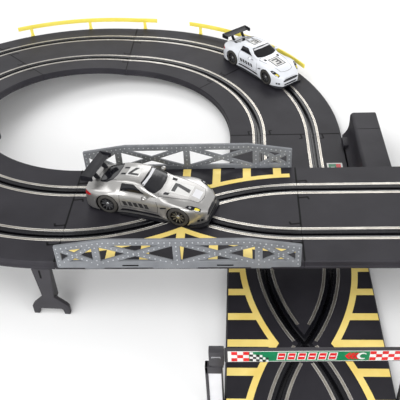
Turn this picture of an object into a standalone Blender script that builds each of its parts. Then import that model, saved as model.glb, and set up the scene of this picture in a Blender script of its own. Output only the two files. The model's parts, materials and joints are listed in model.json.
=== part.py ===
"""Slot car track set: a figure-eight circuit with a bridge, a finish gantry and two cars.

Units are metres, +Z is up.  The origin is on the table, under the point where the upper
track crosses over the lower one.
"""

import math

import bmesh
import bpy
from mathutils import Matrix, Vector

# Track system: every piece fits one module.
MM = 0.001
MODULE = 200 * MM
CURVE_RADIUS = MODULE
CURVE_STEP = 45
TRACK_WIDTH = 126 * MM
TRACK_THICKNESS = 7.5 * MM
LANE_OFFSET = 30 * MM
SLOT_WIDTH = 3 * MM
SLOT_DEPTH = 5 * MM
EDGE_CHAMFER = 0.8 * MM
GAP = 0.3 * MM

# Height of the running surface's underside at each joint of a lobe, from the lower
# straight round to the bridge.
JOINT_RISE = [0, 7 * MM, 14 * MM, 31 * MM, 46 * MM, 54 * MM, 54 * MM]
BRIDGE_RISE = JOINT_RISE[-1]
LOBE_CENTRE = Vector((-MODULE, MODULE, 0))

# Bridge trusses.
TRUSS_LENGTH = 194 * MM
TRUSS_THICKNESS = 2.4 * MM
TRUSS_BELOW = 3.5 * MM
TRUSS_END_HEIGHT = 19.5 * MM
TRUSS_HEIGHT = 26 * MM
TRUSS_SLOPE = 40 * MM
TRUSS_BAR = 3.4 * MM

# Supports.
LEG_SETBACK = 10 * MM
LEG_THICKNESS = 4 * MM
LEG_WEB_DEPTH = 14.5 * MM
BEAM_THICKNESS = 4 * MM

# Guard rails: the angle of each end and of each post round the lobe, in degrees.
GUARD_RAILS = {
    "guard_rail_left": ((83.5, 126.5), (87.5, 104.5, 122.5)),
    "guard_rail_right": ((29.5, 73), (34, 52, 69.5)),
}
RAIL_LOW = 9.5 * MM
RAIL_HIGH = 15 * MM
RAIL_THICKNESS = 1.6 * MM

# Finish gantry over the lower crossing.
GANTRY_Y = -150 * MM
POST_WIDTH = 15 * MM
POST_BOARD_HEIGHT = 45 * MM
GANTRY_HEIGHT = 63.5 * MM
BANNER_HEIGHT = 13 * MM
BANNER_THICKNESS = 2 * MM

# Connection housing beside the lower straight.
HOUSING_NEAR = 12 * MM
HOUSING_FAR = 196 * MM
HOUSING_HEIGHT = 37.5 * MM
HOUSING_WIDTH = 34 * MM

# Cars, 1:43.
WHEELBASE = 65 * MM
CAR_HALF_WIDTH = 23 * MM
TYRE_RADIUS = 9.3 * MM
TYRE_WIDTH = 6.5 * MM
RIM_RADIUS = 6.7 * MM
AXLE_RADIUS = 1 * MM
RIDE_GAP = 0.35 * MM
GUIDE_AHEAD = 22 * MM
ARCH_GAP = 1.1 * MM
SHELL_WALL = 0.9 * MM
CROWN_TEETH = 24
PINION_TEETH = 8
MESH_AHEAD = 4.7 * MM

COLOURS = {
    "track_plastic": ((0.055, 0.055, 0.062), 0.55, 0.0),
    "support_plastic": ((0.07, 0.07, 0.075), 0.5, 0.0),
    "truss_grey": ((0.27, 0.29, 0.31), 0.45, 0.0),
    "guard_yellow": ((0.9, 0.75, 0.12), 0.45, 0.0),
    "banner_green": ((0.02, 0.3, 0.14), 0.4, 0.0),
    "gantry_black": ((0.05, 0.05, 0.055), 0.5, 0.0),
    "silver_paint": ((0.55, 0.56, 0.58), 0.28, 0.6),
    "white_paint": ((0.85, 0.85, 0.84), 0.3, 0.0),
    "window_black": ((0.03, 0.03, 0.035), 0.12, 0.0),
    "trim_black": ((0.03, 0.03, 0.032), 0.4, 0.0),
    "axle_steel": ((0.6, 0.6, 0.6), 0.3, 1.0),
    "tyre_black": ((0.02, 0.02, 0.02), 0.8, 0.0),
    "gear_plastic": ((0.8, 0.78, 0.7), 0.5, 0.0),
    "motor_steel": ((0.5, 0.5, 0.52), 0.35, 1.0),
}


def clear_scene():
    for obj in list(bpy.data.objects):
        bpy.data.objects.remove(obj, do_unlink=True)


def new_collection(name):
    collection = bpy.data.collections.new(name)
    bpy.context.scene.collection.children.link(collection)
    return collection


clear_scene()
SET = new_collection("slot_car_track_set")
CUTTERS = new_collection("cutters")


def material(name):
    found = bpy.data.materials.get(name)
    if found:
        return found
    colour, roughness, metallic = COLOURS[name]
    made = bpy.data.materials.new(name)
    made.use_nodes = True
    shader = made.node_tree.nodes["Principled BSDF"]
    shader.inputs["Base Color"].default_value = (*colour, 1)
    shader.inputs["Roughness"].default_value = roughness
    shader.inputs["Metallic"].default_value = metallic
    return made


def add_object(name, bm, slot=None, parent=None):
    """Make an object from a bmesh, as a part if it has a material slot, else as a cutter."""
    bmesh.ops.recalc_face_normals(bm, faces=bm.faces)
    mesh = bpy.data.meshes.new(name)
    bm.to_mesh(mesh)
    bm.free()
    obj = bpy.data.objects.new(name, mesh)
    if slot:
        SET.objects.link(obj)
        mesh.materials.append(material(slot))
    else:
        CUTTERS.objects.link(obj)
        obj.hide_render = True
        obj.display_type = "WIRE"
    obj.parent = parent
    return obj


def combine(obj, other, operation="DIFFERENCE"):
    modifier = obj.modifiers.new(operation.title(), "BOOLEAN")
    modifier.operation = operation
    modifier.solver = "EXACT"
    modifier.object = other


def add_box(bm, low, high):
    size = [b - a for a, b in zip(low, high)]
    centre = [(a + b) / 2 for a, b in zip(low, high)]
    place = Matrix.Translation(centre) @ Matrix.Diagonal((*size, 1))
    bmesh.ops.create_cube(bm, size=1, matrix=place)


def add_cylinder(bm, start, end, radius, segments=16):
    start, end = Vector(start), Vector(end)
    along = end - start
    turn = Vector((0, 0, 1)).rotation_difference(along).to_matrix().to_4x4()
    bmesh.ops.create_cone(
        bm,
        cap_ends=True,
        segments=segments,
        radius1=radius,
        radius2=radius,
        depth=along.length,
        matrix=Matrix.Translation((start + end) / 2) @ turn,
    )


def box(name, low, high, slot=None, parent=None):
    bm = bmesh.new()
    add_box(bm, low, high)
    return add_object(name, bm, slot, parent)


def cylinder(name, start, end, radius, slot=None, parent=None, segments=16):
    bm = bmesh.new()
    add_cylinder(bm, start, end, radius, segments)
    return add_object(name, bm, slot, parent)


def extruded(name, outline, thickness, slot=None, parent=None):
    """An XZ outline made solid from -thickness/2 to +thickness/2 in Y."""
    bm = bmesh.new()
    corners = [bm.verts.new((x, -thickness / 2, z)) for x, z in outline]
    face = bm.faces.new(corners)
    swept = bmesh.ops.extrude_face_region(bm, geom=[face])
    moved = [item for item in swept["geom"] if isinstance(item, bmesh.types.BMVert)]
    bmesh.ops.translate(bm, verts=moved, vec=(0, thickness, 0))
    return add_object(name, bm, slot, parent)


def sweep(name, outline, stations, slot=None, parent=None):
    """Loft an (across, up) outline through stations, each an origin and an across vector."""
    bm = bmesh.new()
    rings = []
    for origin, across in stations:
        ring = [bm.verts.new(origin + across * u + Vector((0, 0, w))) for u, w in outline]
        rings.append(ring)
    for near, far in zip(rings, rings[1:]):
        for i in range(len(outline)):
            j = (i + 1) % len(outline)
            bm.faces.new((near[i], near[j], far[j], far[i]))
    bm.faces.new(rings[0])
    bm.faces.new(rings[-1])
    return add_object(name, bm, slot, parent)


# ---------------------------------------------------------------- track


def slab_outline(slots=True):
    """Cross-section of the track: chamfered top edges and a groove in each lane."""
    half = TRACK_WIDTH / 2
    top = TRACK_THICKNESS
    points = [(-half, 0), (half, 0), (half, top - EDGE_CHAMFER), (half - EDGE_CHAMFER, top)]
    if slots:
        for lane in (LANE_OFFSET, -LANE_OFFSET):
            right, left = lane + SLOT_WIDTH / 2, lane - SLOT_WIDTH / 2
            floor = top - SLOT_DEPTH
            points += [(right, top), (right, floor), (left, floor), (left, top)]
    return points + [(-half + EDGE_CHAMFER, top), (-half, top - EDGE_CHAMFER)]


def straight_stations(start, end):
    start, end = Vector(start), Vector(end)
    along = (end - start).normalized()
    across = along.cross(Vector((0, 0, 1)))
    trim = along * GAP / 2
    return [(start + trim, across), (end - trim, across)]


def rise_at(degrees):
    """Underside height round a lobe, straight between the joints."""
    step = min(int(degrees // CURVE_STEP), len(JOINT_RISE) - 2)
    part = degrees / CURVE_STEP - step
    return JOINT_RISE[step] + (JOINT_RISE[step + 1] - JOINT_RISE[step]) * part


def lobe_station(degrees, radius=CURVE_RADIUS):
    turn = math.radians(degrees)
    outward = Vector((math.cos(turn), math.sin(turn), 0))
    return LOBE_CENTRE + outward * radius + Vector((0, 0, rise_at(degrees))), outward


def curve_stations(index, pieces=9):
    trim = math.degrees(GAP / 2 / (CURVE_RADIUS - TRACK_WIDTH / 2))
    first, last = index * CURVE_STEP + trim, (index + 1) * CURVE_STEP - trim
    return [lobe_station(first + (last - first) * i / pieces) for i in range(pieces + 1)]


def opposite(obj):
    """Turn an object half a turn about the crossing, to the other lobe."""
    obj.matrix_world = Matrix.Rotation(math.pi, 4, "Z") @ obj.matrix_world
    return obj


def make_curves():
    names = ["curve_%d" % (i + 1) for i in range(6)]
    for index, name in enumerate(names):
        sweep("rear_" + name, slab_outline(), curve_stations(index), "track_plastic")
        front = sweep("front_" + name, slab_outline(), curve_stations(index), "track_plastic")
        opposite(front)


def crossover_path(side, reach=0.0):
    """One lane's S through a crossing piece: two equal arcs, plus a straight run-out."""
    half = MODULE / 2
    radius = (half**2 + LANE_OFFSET**2) / (2 * LANE_OFFSET)
    sweep_angle = math.asin(half / radius)
    points = []
    for i in range(9):
        turn = sweep_angle * i / 8
        points.append((-half + radius * math.sin(turn), LANE_OFFSET - radius * (1 - math.cos(turn))))
    points += [(-x, -y) for x, y in reversed(points[:-1])]
    points = [(-half - reach, LANE_OFFSET)] + points + [(half + reach, -LANE_OFFSET)]
    return [(x, y * side) for x, y in points]


def path_stations(points, height):
    """Stations along a flat path, each across vector square to the path there."""
    stations = []
    for i, (x, y) in enumerate(points):
        before, after = points[max(i - 1, 0)], points[min(i + 1, len(points) - 1)]
        along = Vector((after[0] - before[0], after[1] - before[1], 0)).normalized()
        stations.append((Vector((x, y, height)), along.cross(Vector((0, 0, 1)))))
    return stations


def make_crossing(name, centre, turn):
    """A straight whose two lanes swap sides through crossed slots."""
    stations = straight_stations((-MODULE / 2, 0, 0), (MODULE / 2, 0, 0))
    slab = sweep(name, slab_outline(slots=False), stations, "track_plastic")
    place = Matrix.Translation(centre) @ Matrix.Rotation(turn, 4, "Z")
    slab.matrix_world = place
    half = SLOT_WIDTH / 2
    cut = [(-half, 0), (half, 0), (half, SLOT_DEPTH * 2), (-half, SLOT_DEPTH * 2)]
    for side in (1, -1):
        path = path_stations(crossover_path(side, 5 * MM), TRACK_THICKNESS - SLOT_DEPTH)
        groove = sweep("%s_groove_%d" % (name, side), cut, path)
        groove.matrix_world = place
        combine(slab, groove)
    return slab


def make_track():
    make_crossing("bridge_crossing", (-MODULE / 2, 0, BRIDGE_RISE), 0)
    make_crossing("lower_crossing", (0, -MODULE / 2, 0), math.pi / 2)
    high, low = (0, 0, BRIDGE_RISE), (0, 0, 0)
    bridge = straight_stations(high, (MODULE, 0, BRIDGE_RISE))
    sweep("bridge_straight", slab_outline(), bridge, "track_plastic")
    connection = straight_stations(low, (0, MODULE, 0))
    sweep("connection_straight", slab_outline(), connection, "track_plastic")
    make_curves()


# ---------------------------------------------------------------- supports


def leg_outline(height):
    """Front view of a leg: tapered plate on a forked foot with two toes."""
    waist = 0.36 * height
    right = [(8, height), (4.8, waist), (16, 5.5), (16, 0), (11, 0), (9, 3)]
    right = [(x * MM, z if z in (height, waist) else z * MM) for x, z in right]
    return right + [(-x, z) for x, z in reversed(right)]


def clear_height(degrees, reach):
    """Height that clears the underside all along a support `reach` long each way."""
    spread = math.degrees(reach / (CURVE_RADIUS - TRACK_WIDTH / 2))
    return rise_at(degrees - spread) - GAP


def place_under(obj, degrees, radius=CURVE_RADIUS):
    origin, outward = lobe_station(degrees, radius)
    turn = math.atan2(outward.y, outward.x) - math.pi / 2
    obj.matrix_world = Matrix.Translation((origin.x, origin.y, 0)) @ Matrix.Rotation(turn, 4, "Z")


def make_portal(name, degrees, set_back):
    """Two legs joined by a beam that carries the track; local Y runs across the track."""
    height = clear_height(degrees, LEG_SETBACK)
    half = TRACK_WIDTH / 2
    bm = bmesh.new()
    add_box(bm, (-6 * MM, -half + MM, height - BEAM_THICKNESS), (6 * MM, half - MM, height))
    portal = add_object(name, bm, "support_plastic")
    for side in (1, -1):
        leg = extruded("%s_leg_%d" % (name, side), leg_outline(height), LEG_THICKNESS)
        leg.location.y = side * (half - LEG_THICKNESS / 2)
        low, high = sorted((side * (half - LEG_THICKNESS - LEG_WEB_DEPTH), side * (half - MM)))
        web = box("%s_web_%d" % (name, side), (-1.6 * MM, low, 0), (1.6 * MM, high, height - MM))
        for piece in (leg, web):
            combine(portal, piece, "UNION")
            piece.parent = portal
    place_under(portal, degrees - math.degrees(set_back / CURVE_RADIUS))
    return portal


def make_column(name, degrees, radius):
    """A low column standing under the ramp's outer lane."""
    height = clear_height(degrees, LEG_SETBACK)
    right = [(16, height), (7, 0.65 * height), (7, 8 * MM), (18, 3 * MM), (18, 0)]
    right = [(x * MM, z) for x, z in right]
    outline = right + [(-x, z) for x, z in reversed(right)]
    column = extruded(name, outline, 12 * MM, "support_plastic")
    origin, outward = lobe_station(degrees, radius)
    turn = math.atan2(outward.y, outward.x)
    column.matrix_world = Matrix.Translation((origin.x, origin.y, 0)) @ Matrix.Rotation(turn, 4, "Z")
    return column


def make_supports():
    for lobe, move in (("rear", lambda obj: obj), ("front", opposite)):
        move(make_column(lobe + "_ramp_column", 3 * CURVE_STEP - 1, CURVE_RADIUS + 22 * MM))
        move(make_portal(lobe + "_ramp_support", 4 * CURVE_STEP, 0))
        move(make_portal(lobe + "_top_support", 5 * CURVE_STEP, 0))
        move(make_portal(lobe + "_bridge_support", 6 * CURVE_STEP, LEG_SETBACK))


# ---------------------------------------------------------------- bridge trusses


def inset_triangle(points, inset):
    """The triangle left inside its three edges when each bar is half `inset` wide."""
    lines = []
    for i in range(3):
        a, b = Vector(points[i]), Vector(points[(i + 1) % 3])
        c = Vector(points[(i + 2) % 3])
        along = (b - a).normalized()
        inward = Vector((-along.y, along.x))
        if inward.dot(c - a) < 0:
            inward = -inward
        lines.append((a + inward * inset[i], along))
    corners = []
    for i in range(3):
        (p, d), (q, e) = lines[i - 1], lines[i]
        across = d.x * e.y - d.y * e.x
        step = ((q.x - p.x) * e.y - (q.y - p.y) * e.x) / across
        corners.append(tuple(p + d * step))
    return corners


def truss_windows(half, low, top_at):
    """Triangular windows of four crossed bays: a narrow bay at each end, two long ones."""
    posts = [-half, -half + 33 * MM, 0, half - 33 * MM, half]
    bar = TRUSS_BAR
    windows = []
    for left, right in zip(posts, posts[1:]):
        a, b = (left, low), (right, low)
        c, d = (right, top_at(right)), (left, top_at(left))
        rise = (c[1] - a[1]) / (c[0] - a[0])
        fall = (b[1] - d[1]) / (b[0] - d[0])
        x = (d[1] - a[1] + rise * a[0] - fall * d[0]) / (rise - fall)
        middle = (x, a[1] + rise * (x - a[0]))
        for first, second in ((a, b), (b, c), (c, d), (d, a)):
            edge = bar if first[1] == second[1] or abs(first[0] - second[0]) > bar else bar * 0.9
            corners = inset_triangle([first, second, middle], (edge, bar / 2, bar / 2))
            windows.append(corners)
    return windows


def truss_outline(half, low, high, end):
    right = [(half, low), (half, end), (half - TRUSS_SLOPE, high)]
    return right + [(-x, z) for x, z in reversed(right)]


def make_truss(name, y, base):
    """A riveted lattice side panel: chords, posts and crossed bars round open windows."""
    half = TRUSS_LENGTH / 2
    low, high, end = -TRUSS_BELOW, TRUSS_HEIGHT, TRUSS_END_HEIGHT

    def top_at(x):
        past = max(abs(x) - (half - TRUSS_SLOPE), 0)
        return high + (end - high) * past / TRUSS_SLOPE

    panel = extruded(name, truss_outline(half, low, high, end), TRUSS_THICKNESS, "truss_grey")
    place = Matrix.Translation((-MODULE / 2, y, base))
    panel.matrix_world = place
    bm = bmesh.new()
    for corners in truss_windows(half, low, top_at):
        verts = [bm.verts.new((x, -TRUSS_THICKNESS, z)) for x, z in corners]
        face = bm.faces.new(verts)
        swept = bmesh.ops.extrude_face_region(bm, geom=[face])
        moved = [item for item in swept["geom"] if isinstance(item, bmesh.types.BMVert)]
        bmesh.ops.translate(bm, verts=moved, vec=(0, 2 * TRUSS_THICKNESS, 0))
    windows = add_object(name + "_windows", bm)
    windows.matrix_world = place
    combine(panel, windows)


def make_trusses():
    y = TRACK_WIDTH / 2 + GAP + TRUSS_THICKNESS / 2
    base = BRIDGE_RISE + TRACK_THICKNESS
    make_truss("bridge_truss_front", -y, base)
    make_truss("bridge_truss_back", y, base)


# ---------------------------------------------------------------- guard rails


def make_guard_rails():
    """Each is a strip on three posts that hook over the track's outer edge."""
    inner = TRACK_WIDTH / 2 + GAP
    for name, (ends, posts) in GUARD_RAILS.items():
        strip = [(inner, RAIL_LOW), (inner + RAIL_THICKNESS, RAIL_LOW)]
        strip += [(inner + RAIL_THICKNESS, RAIL_HIGH), (inner, RAIL_HIGH)]
        strip = [(u, w + TRACK_THICKNESS) for u, w in strip]
        steps = 9
        stations = [lobe_station(ends[0] + (ends[1] - ends[0]) * i / steps) for i in range(steps + 1)]
        rail = sweep(name, strip, stations, "guard_yellow")
        for number, degrees in enumerate(posts):
            origin, outward = lobe_station(degrees)
            bm = bmesh.new()
            top = TRACK_THICKNESS + RAIL_HIGH - MM
            low, high = inner + 0.2 * MM, inner + RAIL_THICKNESS - 0.2 * MM
            add_box(bm, (-2 * MM, low, 0), (2 * MM, high, top))
            post = add_object("%s_post_%d" % (name, number), bm)
            turn = math.atan2(outward.y, outward.x) - math.pi / 2
            post.matrix_world = Matrix.Translation(origin) @ Matrix.Rotation(turn, 4, "Z")
            combine(rail, post, "UNION")


# ---------------------------------------------------------------- gantry and housing


def make_gantry():
    half = TRACK_WIDTH / 2 + GAP
    for name, side in (("gantry_post_left", -1), ("gantry_post_right", 1)):
        bm = bmesh.new()
        inner, outer = side * half, side * (half + POST_WIDTH)
        low, high = sorted((inner, outer))
        add_box(bm, (low, -3 * MM, 0), (high, 3 * MM, POST_BOARD_HEIGHT))
        post = add_object(name, bm, "gantry_black")
        inner, outer = side * (half - 1.5 * MM), side * (half + POST_WIDTH - 4 * MM)
        low, high = sorted((inner, outer))
        low, high = (low, -4 * MM, POST_BOARD_HEIGHT - MM), (high, 4 * MM, GANTRY_HEIGHT)
        combine(post, box(name + "_head", low, high, parent=post), "UNION")
        post.location.y = GANTRY_Y
    reach = half - 1.5 * MM - GAP
    low, high = GANTRY_HEIGHT - BANNER_HEIGHT, GANTRY_HEIGHT
    thick = BANNER_THICKNESS / 2
    banner = box("gantry_banner", (-reach, -thick, low), (reach, thick, high), "banner_green")
    banner.location.y = GANTRY_Y


def make_housing():
    """A raised cover whose near side curves down to the track's edge."""
    inner = TRACK_WIDTH / 2 + GAP
    outer = inner + HOUSING_WIDTH
    foot = TRACK_THICKNESS + 0.5 * MM
    outline = [(outer, 0), (outer, HOUSING_HEIGHT), (inner + 12 * MM, HOUSING_HEIGHT)]
    for degrees in (22, 45, 68, 90):
        turn = math.radians(degrees)
        x = inner + (12 - 4 * math.sin(turn)) * MM
        outline.append((x, HOUSING_HEIGHT - 4 * MM * (1 - math.cos(turn))))
    for part in (0.3, 0.6, 0.85, 1):
        x = inner + 8 * MM * (1 - part**1.4)
        outline.append((x, HOUSING_HEIGHT - 4 * MM - (HOUSING_HEIGHT - 4 * MM - foot) * part))
    outline.append((inner, 0))
    length = HOUSING_FAR - HOUSING_NEAR
    housing = extruded("connection_housing", outline, length, "track_plastic")
    housing.location.y = (HOUSING_FAR + HOUSING_NEAR) / 2
    for number, y in enumerate((-30 * MM, 30 * MM)):
        low, high = (outer - 9 * MM, y, 14 * MM), (outer + 2 * MM, y, 14 * MM)
        socket = cylinder("controller_socket_%d" % number, low, high, 1.75 * MM, parent=housing)
        combine(housing, socket)


# ---------------------------------------------------------------- cars


def between(value, points):
    """Straight-line interpolation through (place, value) points."""
    for (a, first), (b, second) in zip(points, points[1:]):
        if value <= b:
            return first + (second - first) * max(value - a, 0) / (b - a)
    return points[-1][1]


# Lengthwise lines of the body: (place, value) in millimetres from mid-wheelbase, nose at +X.
STATIONS = [-53.5, -51, -46, -39, -32, -25, -18, -10, -3, 5, 12, 18, 25, 32.5, 40, 47, 52, 55.5]
HALF_WIDTH = [(-53.5, 19.5), (-50, 22), (-36, 23.2), (-22, 22.6), (0, 21.6), (18, 22), (34, 22.8)]
HALF_WIDTH += [(46, 22), (51, 20.6), (55.5, 16.5)]
SHOULDER = [(-53.5, 20), (-46, 22), (-32, 22.6), (-14, 20.6), (10, 20.2), (32, 21.8)]
SHOULDER += [(43, 19.4), (50, 16), (55.5, 12)]
CENTRE_TOP = [(-53.5, 22), (-50, 24.2), (-42, 25.6), (-27, 31.4), (-16, 33.2), (-3, 32)]
CENTRE_TOP += [(13, 23), (22, 22.4), (40, 20.8), (50, 17.6), (55.5, 13.6)]
CABIN_BASE = [(-53.5, 15), (-40, 17), (-20, 19), (6, 19), (14, 17.6), (55.5, 12)]
CABIN_TOP = [(-53.5, 11), (-42, 12), (-24, 14.4), (-3, 15), (12, 16.4), (22, 14), (55.5, 9)]


def body_section(x, inset=0.0, floor=2.5):
    """Half-profile of the body at a station, from sill to centreline, in millimetres."""
    width = between(x, HALF_WIDTH) - inset
    shoulder = between(x, SHOULDER)
    top = between(x, CENTRE_TOP) - inset
    base, roof = between(x, CABIN_BASE), between(x, CABIN_TOP) - inset
    lift = max(top - shoulder, 0)
    sides = [(width - 0.6, floor), (width, 6), (width, 0.7 * shoulder)]
    sides.append((width - 1.3, 0.93 * shoulder - inset * 0.4))
    belt = (min(base + 1.2, width - 2.8), shoulder + min(0.2 * lift, 1.2) - inset * 0.7)
    middle = (0.45 * base + 0.55 * roof + 0.6, shoulder + 0.58 * lift - inset * 0.5)
    cabin = [belt, middle, (roof, shoulder + 0.9 * lift), (roof * 0.55, top - 0.02 * lift), (0, top)]
    return sides + cabin


def loft_half_sections(bm, sections, close_ends=True):
    """Skin mirrored half-profiles given as (x, points); leaves the underside open."""
    rows = []
    for x, half in sections:
        left = [(y, z) for y, z in half]
        full = left + [(-y, z) for y, z in reversed(left[:-1])]
        rows.append([bm.verts.new((x * MM, y * MM, z * MM)) for y, z in full])
    for near, far in zip(rows, rows[1:]):
        for i in range(len(near) - 1):
            bm.faces.new((near[i], near[i + 1], far[i + 1], far[i]))
    if close_ends:
        for row in (rows[0], rows[-1]):
            bm.faces.new(row)
    return rows


def make_body_shell(name, slot, parent):
    """Hollow one-piece shell, open underneath, with wheel arches and window openings."""
    bm = bmesh.new()
    loft_half_sections(bm, [(x, body_section(x)) for x in STATIONS])
    shell = add_object(name, bm, slot, parent)
    solid = shell.modifiers.new("Wall", "SOLIDIFY")
    solid.thickness = SHELL_WALL
    solid.offset = -1
    radius = TYRE_RADIUS + ARCH_GAP
    for axle in (-WHEELBASE / 2, WHEELBASE / 2):
        for side in (-1, 1):
            low, high = (axle, side * 13 * MM, TYRE_RADIUS), (axle, side * 30 * MM, TYRE_RADIUS)
            combine(shell, cylinder(name + "_arch", low, high, radius, parent=parent, segments=20))
    return shell


def make_window_openings(name, shell, parent):
    """Side, front and rear glass openings, cut right through the shell's cabin."""
    side = [(-19, 22), (-18, 28.6), (-6, 29.2), (3, 22)]
    outline = [(x * MM, z * MM) for x, z in side]
    cutter = extruded(name + "_side_glass", outline, 2 * CAR_HALF_WIDTH, parent=parent)
    combine(shell, cutter)
    glasses = (("front", 30, (6.2, 26.8), 15.6, 14), ("rear", -21, (-32, 29.2), 13, 12))
    for end, tilt, centre, length, wide in glasses:
        bm = bmesh.new()
        half = length / 2
        add_box(bm, (-half * MM, -wide * MM, -5 * MM), (half * MM, wide * MM, 4 * MM))
        glass = add_object("%s_%s_glass" % (name, end), bm, parent=parent)
        turn = Matrix.Rotation(math.radians(tilt), 4, "Y")
        glass.matrix_local = Matrix.Translation((centre[0] * MM, 0, centre[1] * MM)) @ turn
        combine(shell, glass)


def make_window_insert(name, parent):
    """One dark moulding that fills the glass openings from inside."""
    inset = (SHELL_WALL + GAP) / MM + 0.15
    sections = []
    for x in (-42, -37, -32, -25, -18, -10, -3, 5, 12.5):
        half = body_section(x, inset)[4:]
        base_y, base_z = half[0]
        foot = [(base_y - 1.2, base_z - 2)]
        sections.append((x, foot + [(min(y, base_y - 0.6), z) for y, z in half[1:]]))
    bm = bmesh.new()
    loft_half_sections(bm, sections)
    insert = add_object(name, bm, "window_black", parent)
    solid = insert.modifiers.new("Wall", "SOLIDIFY")
    solid.thickness = 0.8 * MM
    solid.offset = -1
    return insert


def make_wing(name, parent):
    """Rear aerofoil on two struts, with end plates."""
    bm = bmesh.new()
    add_box(bm, (-55 * MM, -19 * MM, 31.8 * MM), (-45.5 * MM, 19 * MM, 33.2 * MM))
    wing = add_object(name, bm, "trim_black", parent)
    for side in (-1, 1):
        low, high = sorted((side * 18 * MM, side * 19.2 * MM))
        low, high = (-56 * MM, low, 28.8 * MM), (-44.5 * MM, high, 34.2 * MM)
        combine(wing, box(name + "_end", low, high, parent=parent), "UNION")
        outline = [(-52, 32.4), (-48, 32.4), (-43, 25.9), (-46.5, 25.3)]
        outline = [(x * MM, z * MM) for x, z in outline]
        strut = extruded(name + "_strut", outline, 1.2 * MM, parent=parent)
        strut.location.y = side * 8 * MM
        combine(wing, strut, "UNION")
    return wing


def floor_plate(name, outline, low, high, slot=None, parent=None):
    """A plan outline, given as its left half from tail to nose, made a plate."""
    bm = bmesh.new()
    half = [(x * MM, y * MM) for x, y in outline]
    full = half + [(x, -y) for x, y in reversed(half)]
    face = bm.faces.new([bm.verts.new((x, y, low)) for x, y in full])
    swept = bmesh.ops.extrude_face_region(bm, geom=[face])
    moved = [item for item in swept["geom"] if isinstance(item, bmesh.types.BMVert)]
    bmesh.ops.translate(bm, verts=moved, vec=(0, 0, high - low))
    return add_object(name, bm, slot, parent)


def make_chassis(name, parent):
    """Floor with splitter and sills, bearing uprights and the guide's pivot hole."""
    rear, front = -WHEELBASE / 2, WHEELBASE / 2
    plan = [(-53.5, 19), (-50, 21.6), (-20, 22.4), (20, 22.4), (46, 22.2), (52, 20.8), (57, 16.5)]
    chassis = floor_plate(name, plan, 1.2 * MM, 2.2 * MM, "trim_black", parent)
    for axle in (rear, front):
        for side in (-1, 1):
            inner, outer = sorted((side * 12 * MM, side * 25 * MM))
            low, high = (axle - 10.5 * MM, inner, 0), (axle + 10.5 * MM, outer, 5 * MM)
            combine(chassis, box(name + "_notch", low, high, parent=parent))
            inner, outer = sorted((side * 8.5 * MM, side * 11 * MM))
            low, high = (axle - 3 * MM, inner, 1.6 * MM), (axle + 3 * MM, outer, 12.2 * MM)
            combine(chassis, box(name + "_upright", low, high, parent=parent), "UNION")
    low, high = (GUIDE_AHEAD, 0, 0), (GUIDE_AHEAD, 0, 5 * MM)
    combine(chassis, cylinder(name + "_pivot", low, high, 2.3 * MM, parent=parent))
    for axle in (rear, front):
        low, high = (axle, -20 * MM, TYRE_RADIUS), (axle, 20 * MM, TYRE_RADIUS)
        combine(chassis, cylinder(name + "_bearing", low, high, AXLE_RADIUS + GAP, parent=parent))
    return chassis


def make_axle(name, parent, x):
    centre = bpy.data.objects.new(name + "_axis", None)
    SET.objects.link(centre)
    centre.parent = parent
    centre.location = (x, 0, TYRE_RADIUS)
    reach = CAR_HALF_WIDTH - 1.4 * MM
    cylinder(name, (0, -reach, 0), (0, reach, 0), AXLE_RADIUS, "axle_steel", centre, 12)
    return centre


def make_wheel(name, parent, side):
    """Rim and tyre turned as one ring about the axle, dished on the outer face."""
    inner, outer = CAR_HALF_WIDTH - 0.8 * MM - TYRE_WIDTH, CAR_HALF_WIDTH - 0.8 * MM
    bore = AXLE_RADIUS + GAP
    profile = [(bore, inner), (TYRE_RADIUS - 0.5 * MM, inner), (TYRE_RADIUS, inner + 0.5 * MM)]
    profile += [(TYRE_RADIUS, outer - 0.5 * MM), (TYRE_RADIUS - 0.5 * MM, outer)]
    profile += [(RIM_RADIUS, outer), (RIM_RADIUS - 0.6 * MM, outer - MM), (bore, outer - 0.6 * MM)]
    bm = bmesh.new()
    corners = [bm.verts.new((radius, side * along, 0)) for radius, along in profile]
    for i in range(len(corners)):
        bm.edges.new((corners[i - 1], corners[i]))
    steps = 20
    made = bmesh.ops.spin(
        bm,
        geom=bm.verts[:] + bm.edges[:],
        cent=(0, 0, 0),
        axis=(0, 1, 0),
        angle=math.tau,
        steps=steps,
    )
    bmesh.ops.remove_doubles(bm, verts=bm.verts, dist=0.00001)
    wheel = add_object(name, bm, "tyre_black", parent)
    wheel.data.shade_smooth()
    wheel.data.set_sharp_from_angle(angle=math.radians(35))
    return wheel


def gear_outline(teeth, root, tip):
    points = []
    for i in range(teeth):
        for part, radius in ((0.0, root), (0.3, root), (0.4, tip), (0.7, tip)):
            turn = math.tau * (i + part) / teeth
            points.append((radius * math.cos(turn), radius * math.sin(turn)))
    return points


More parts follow.
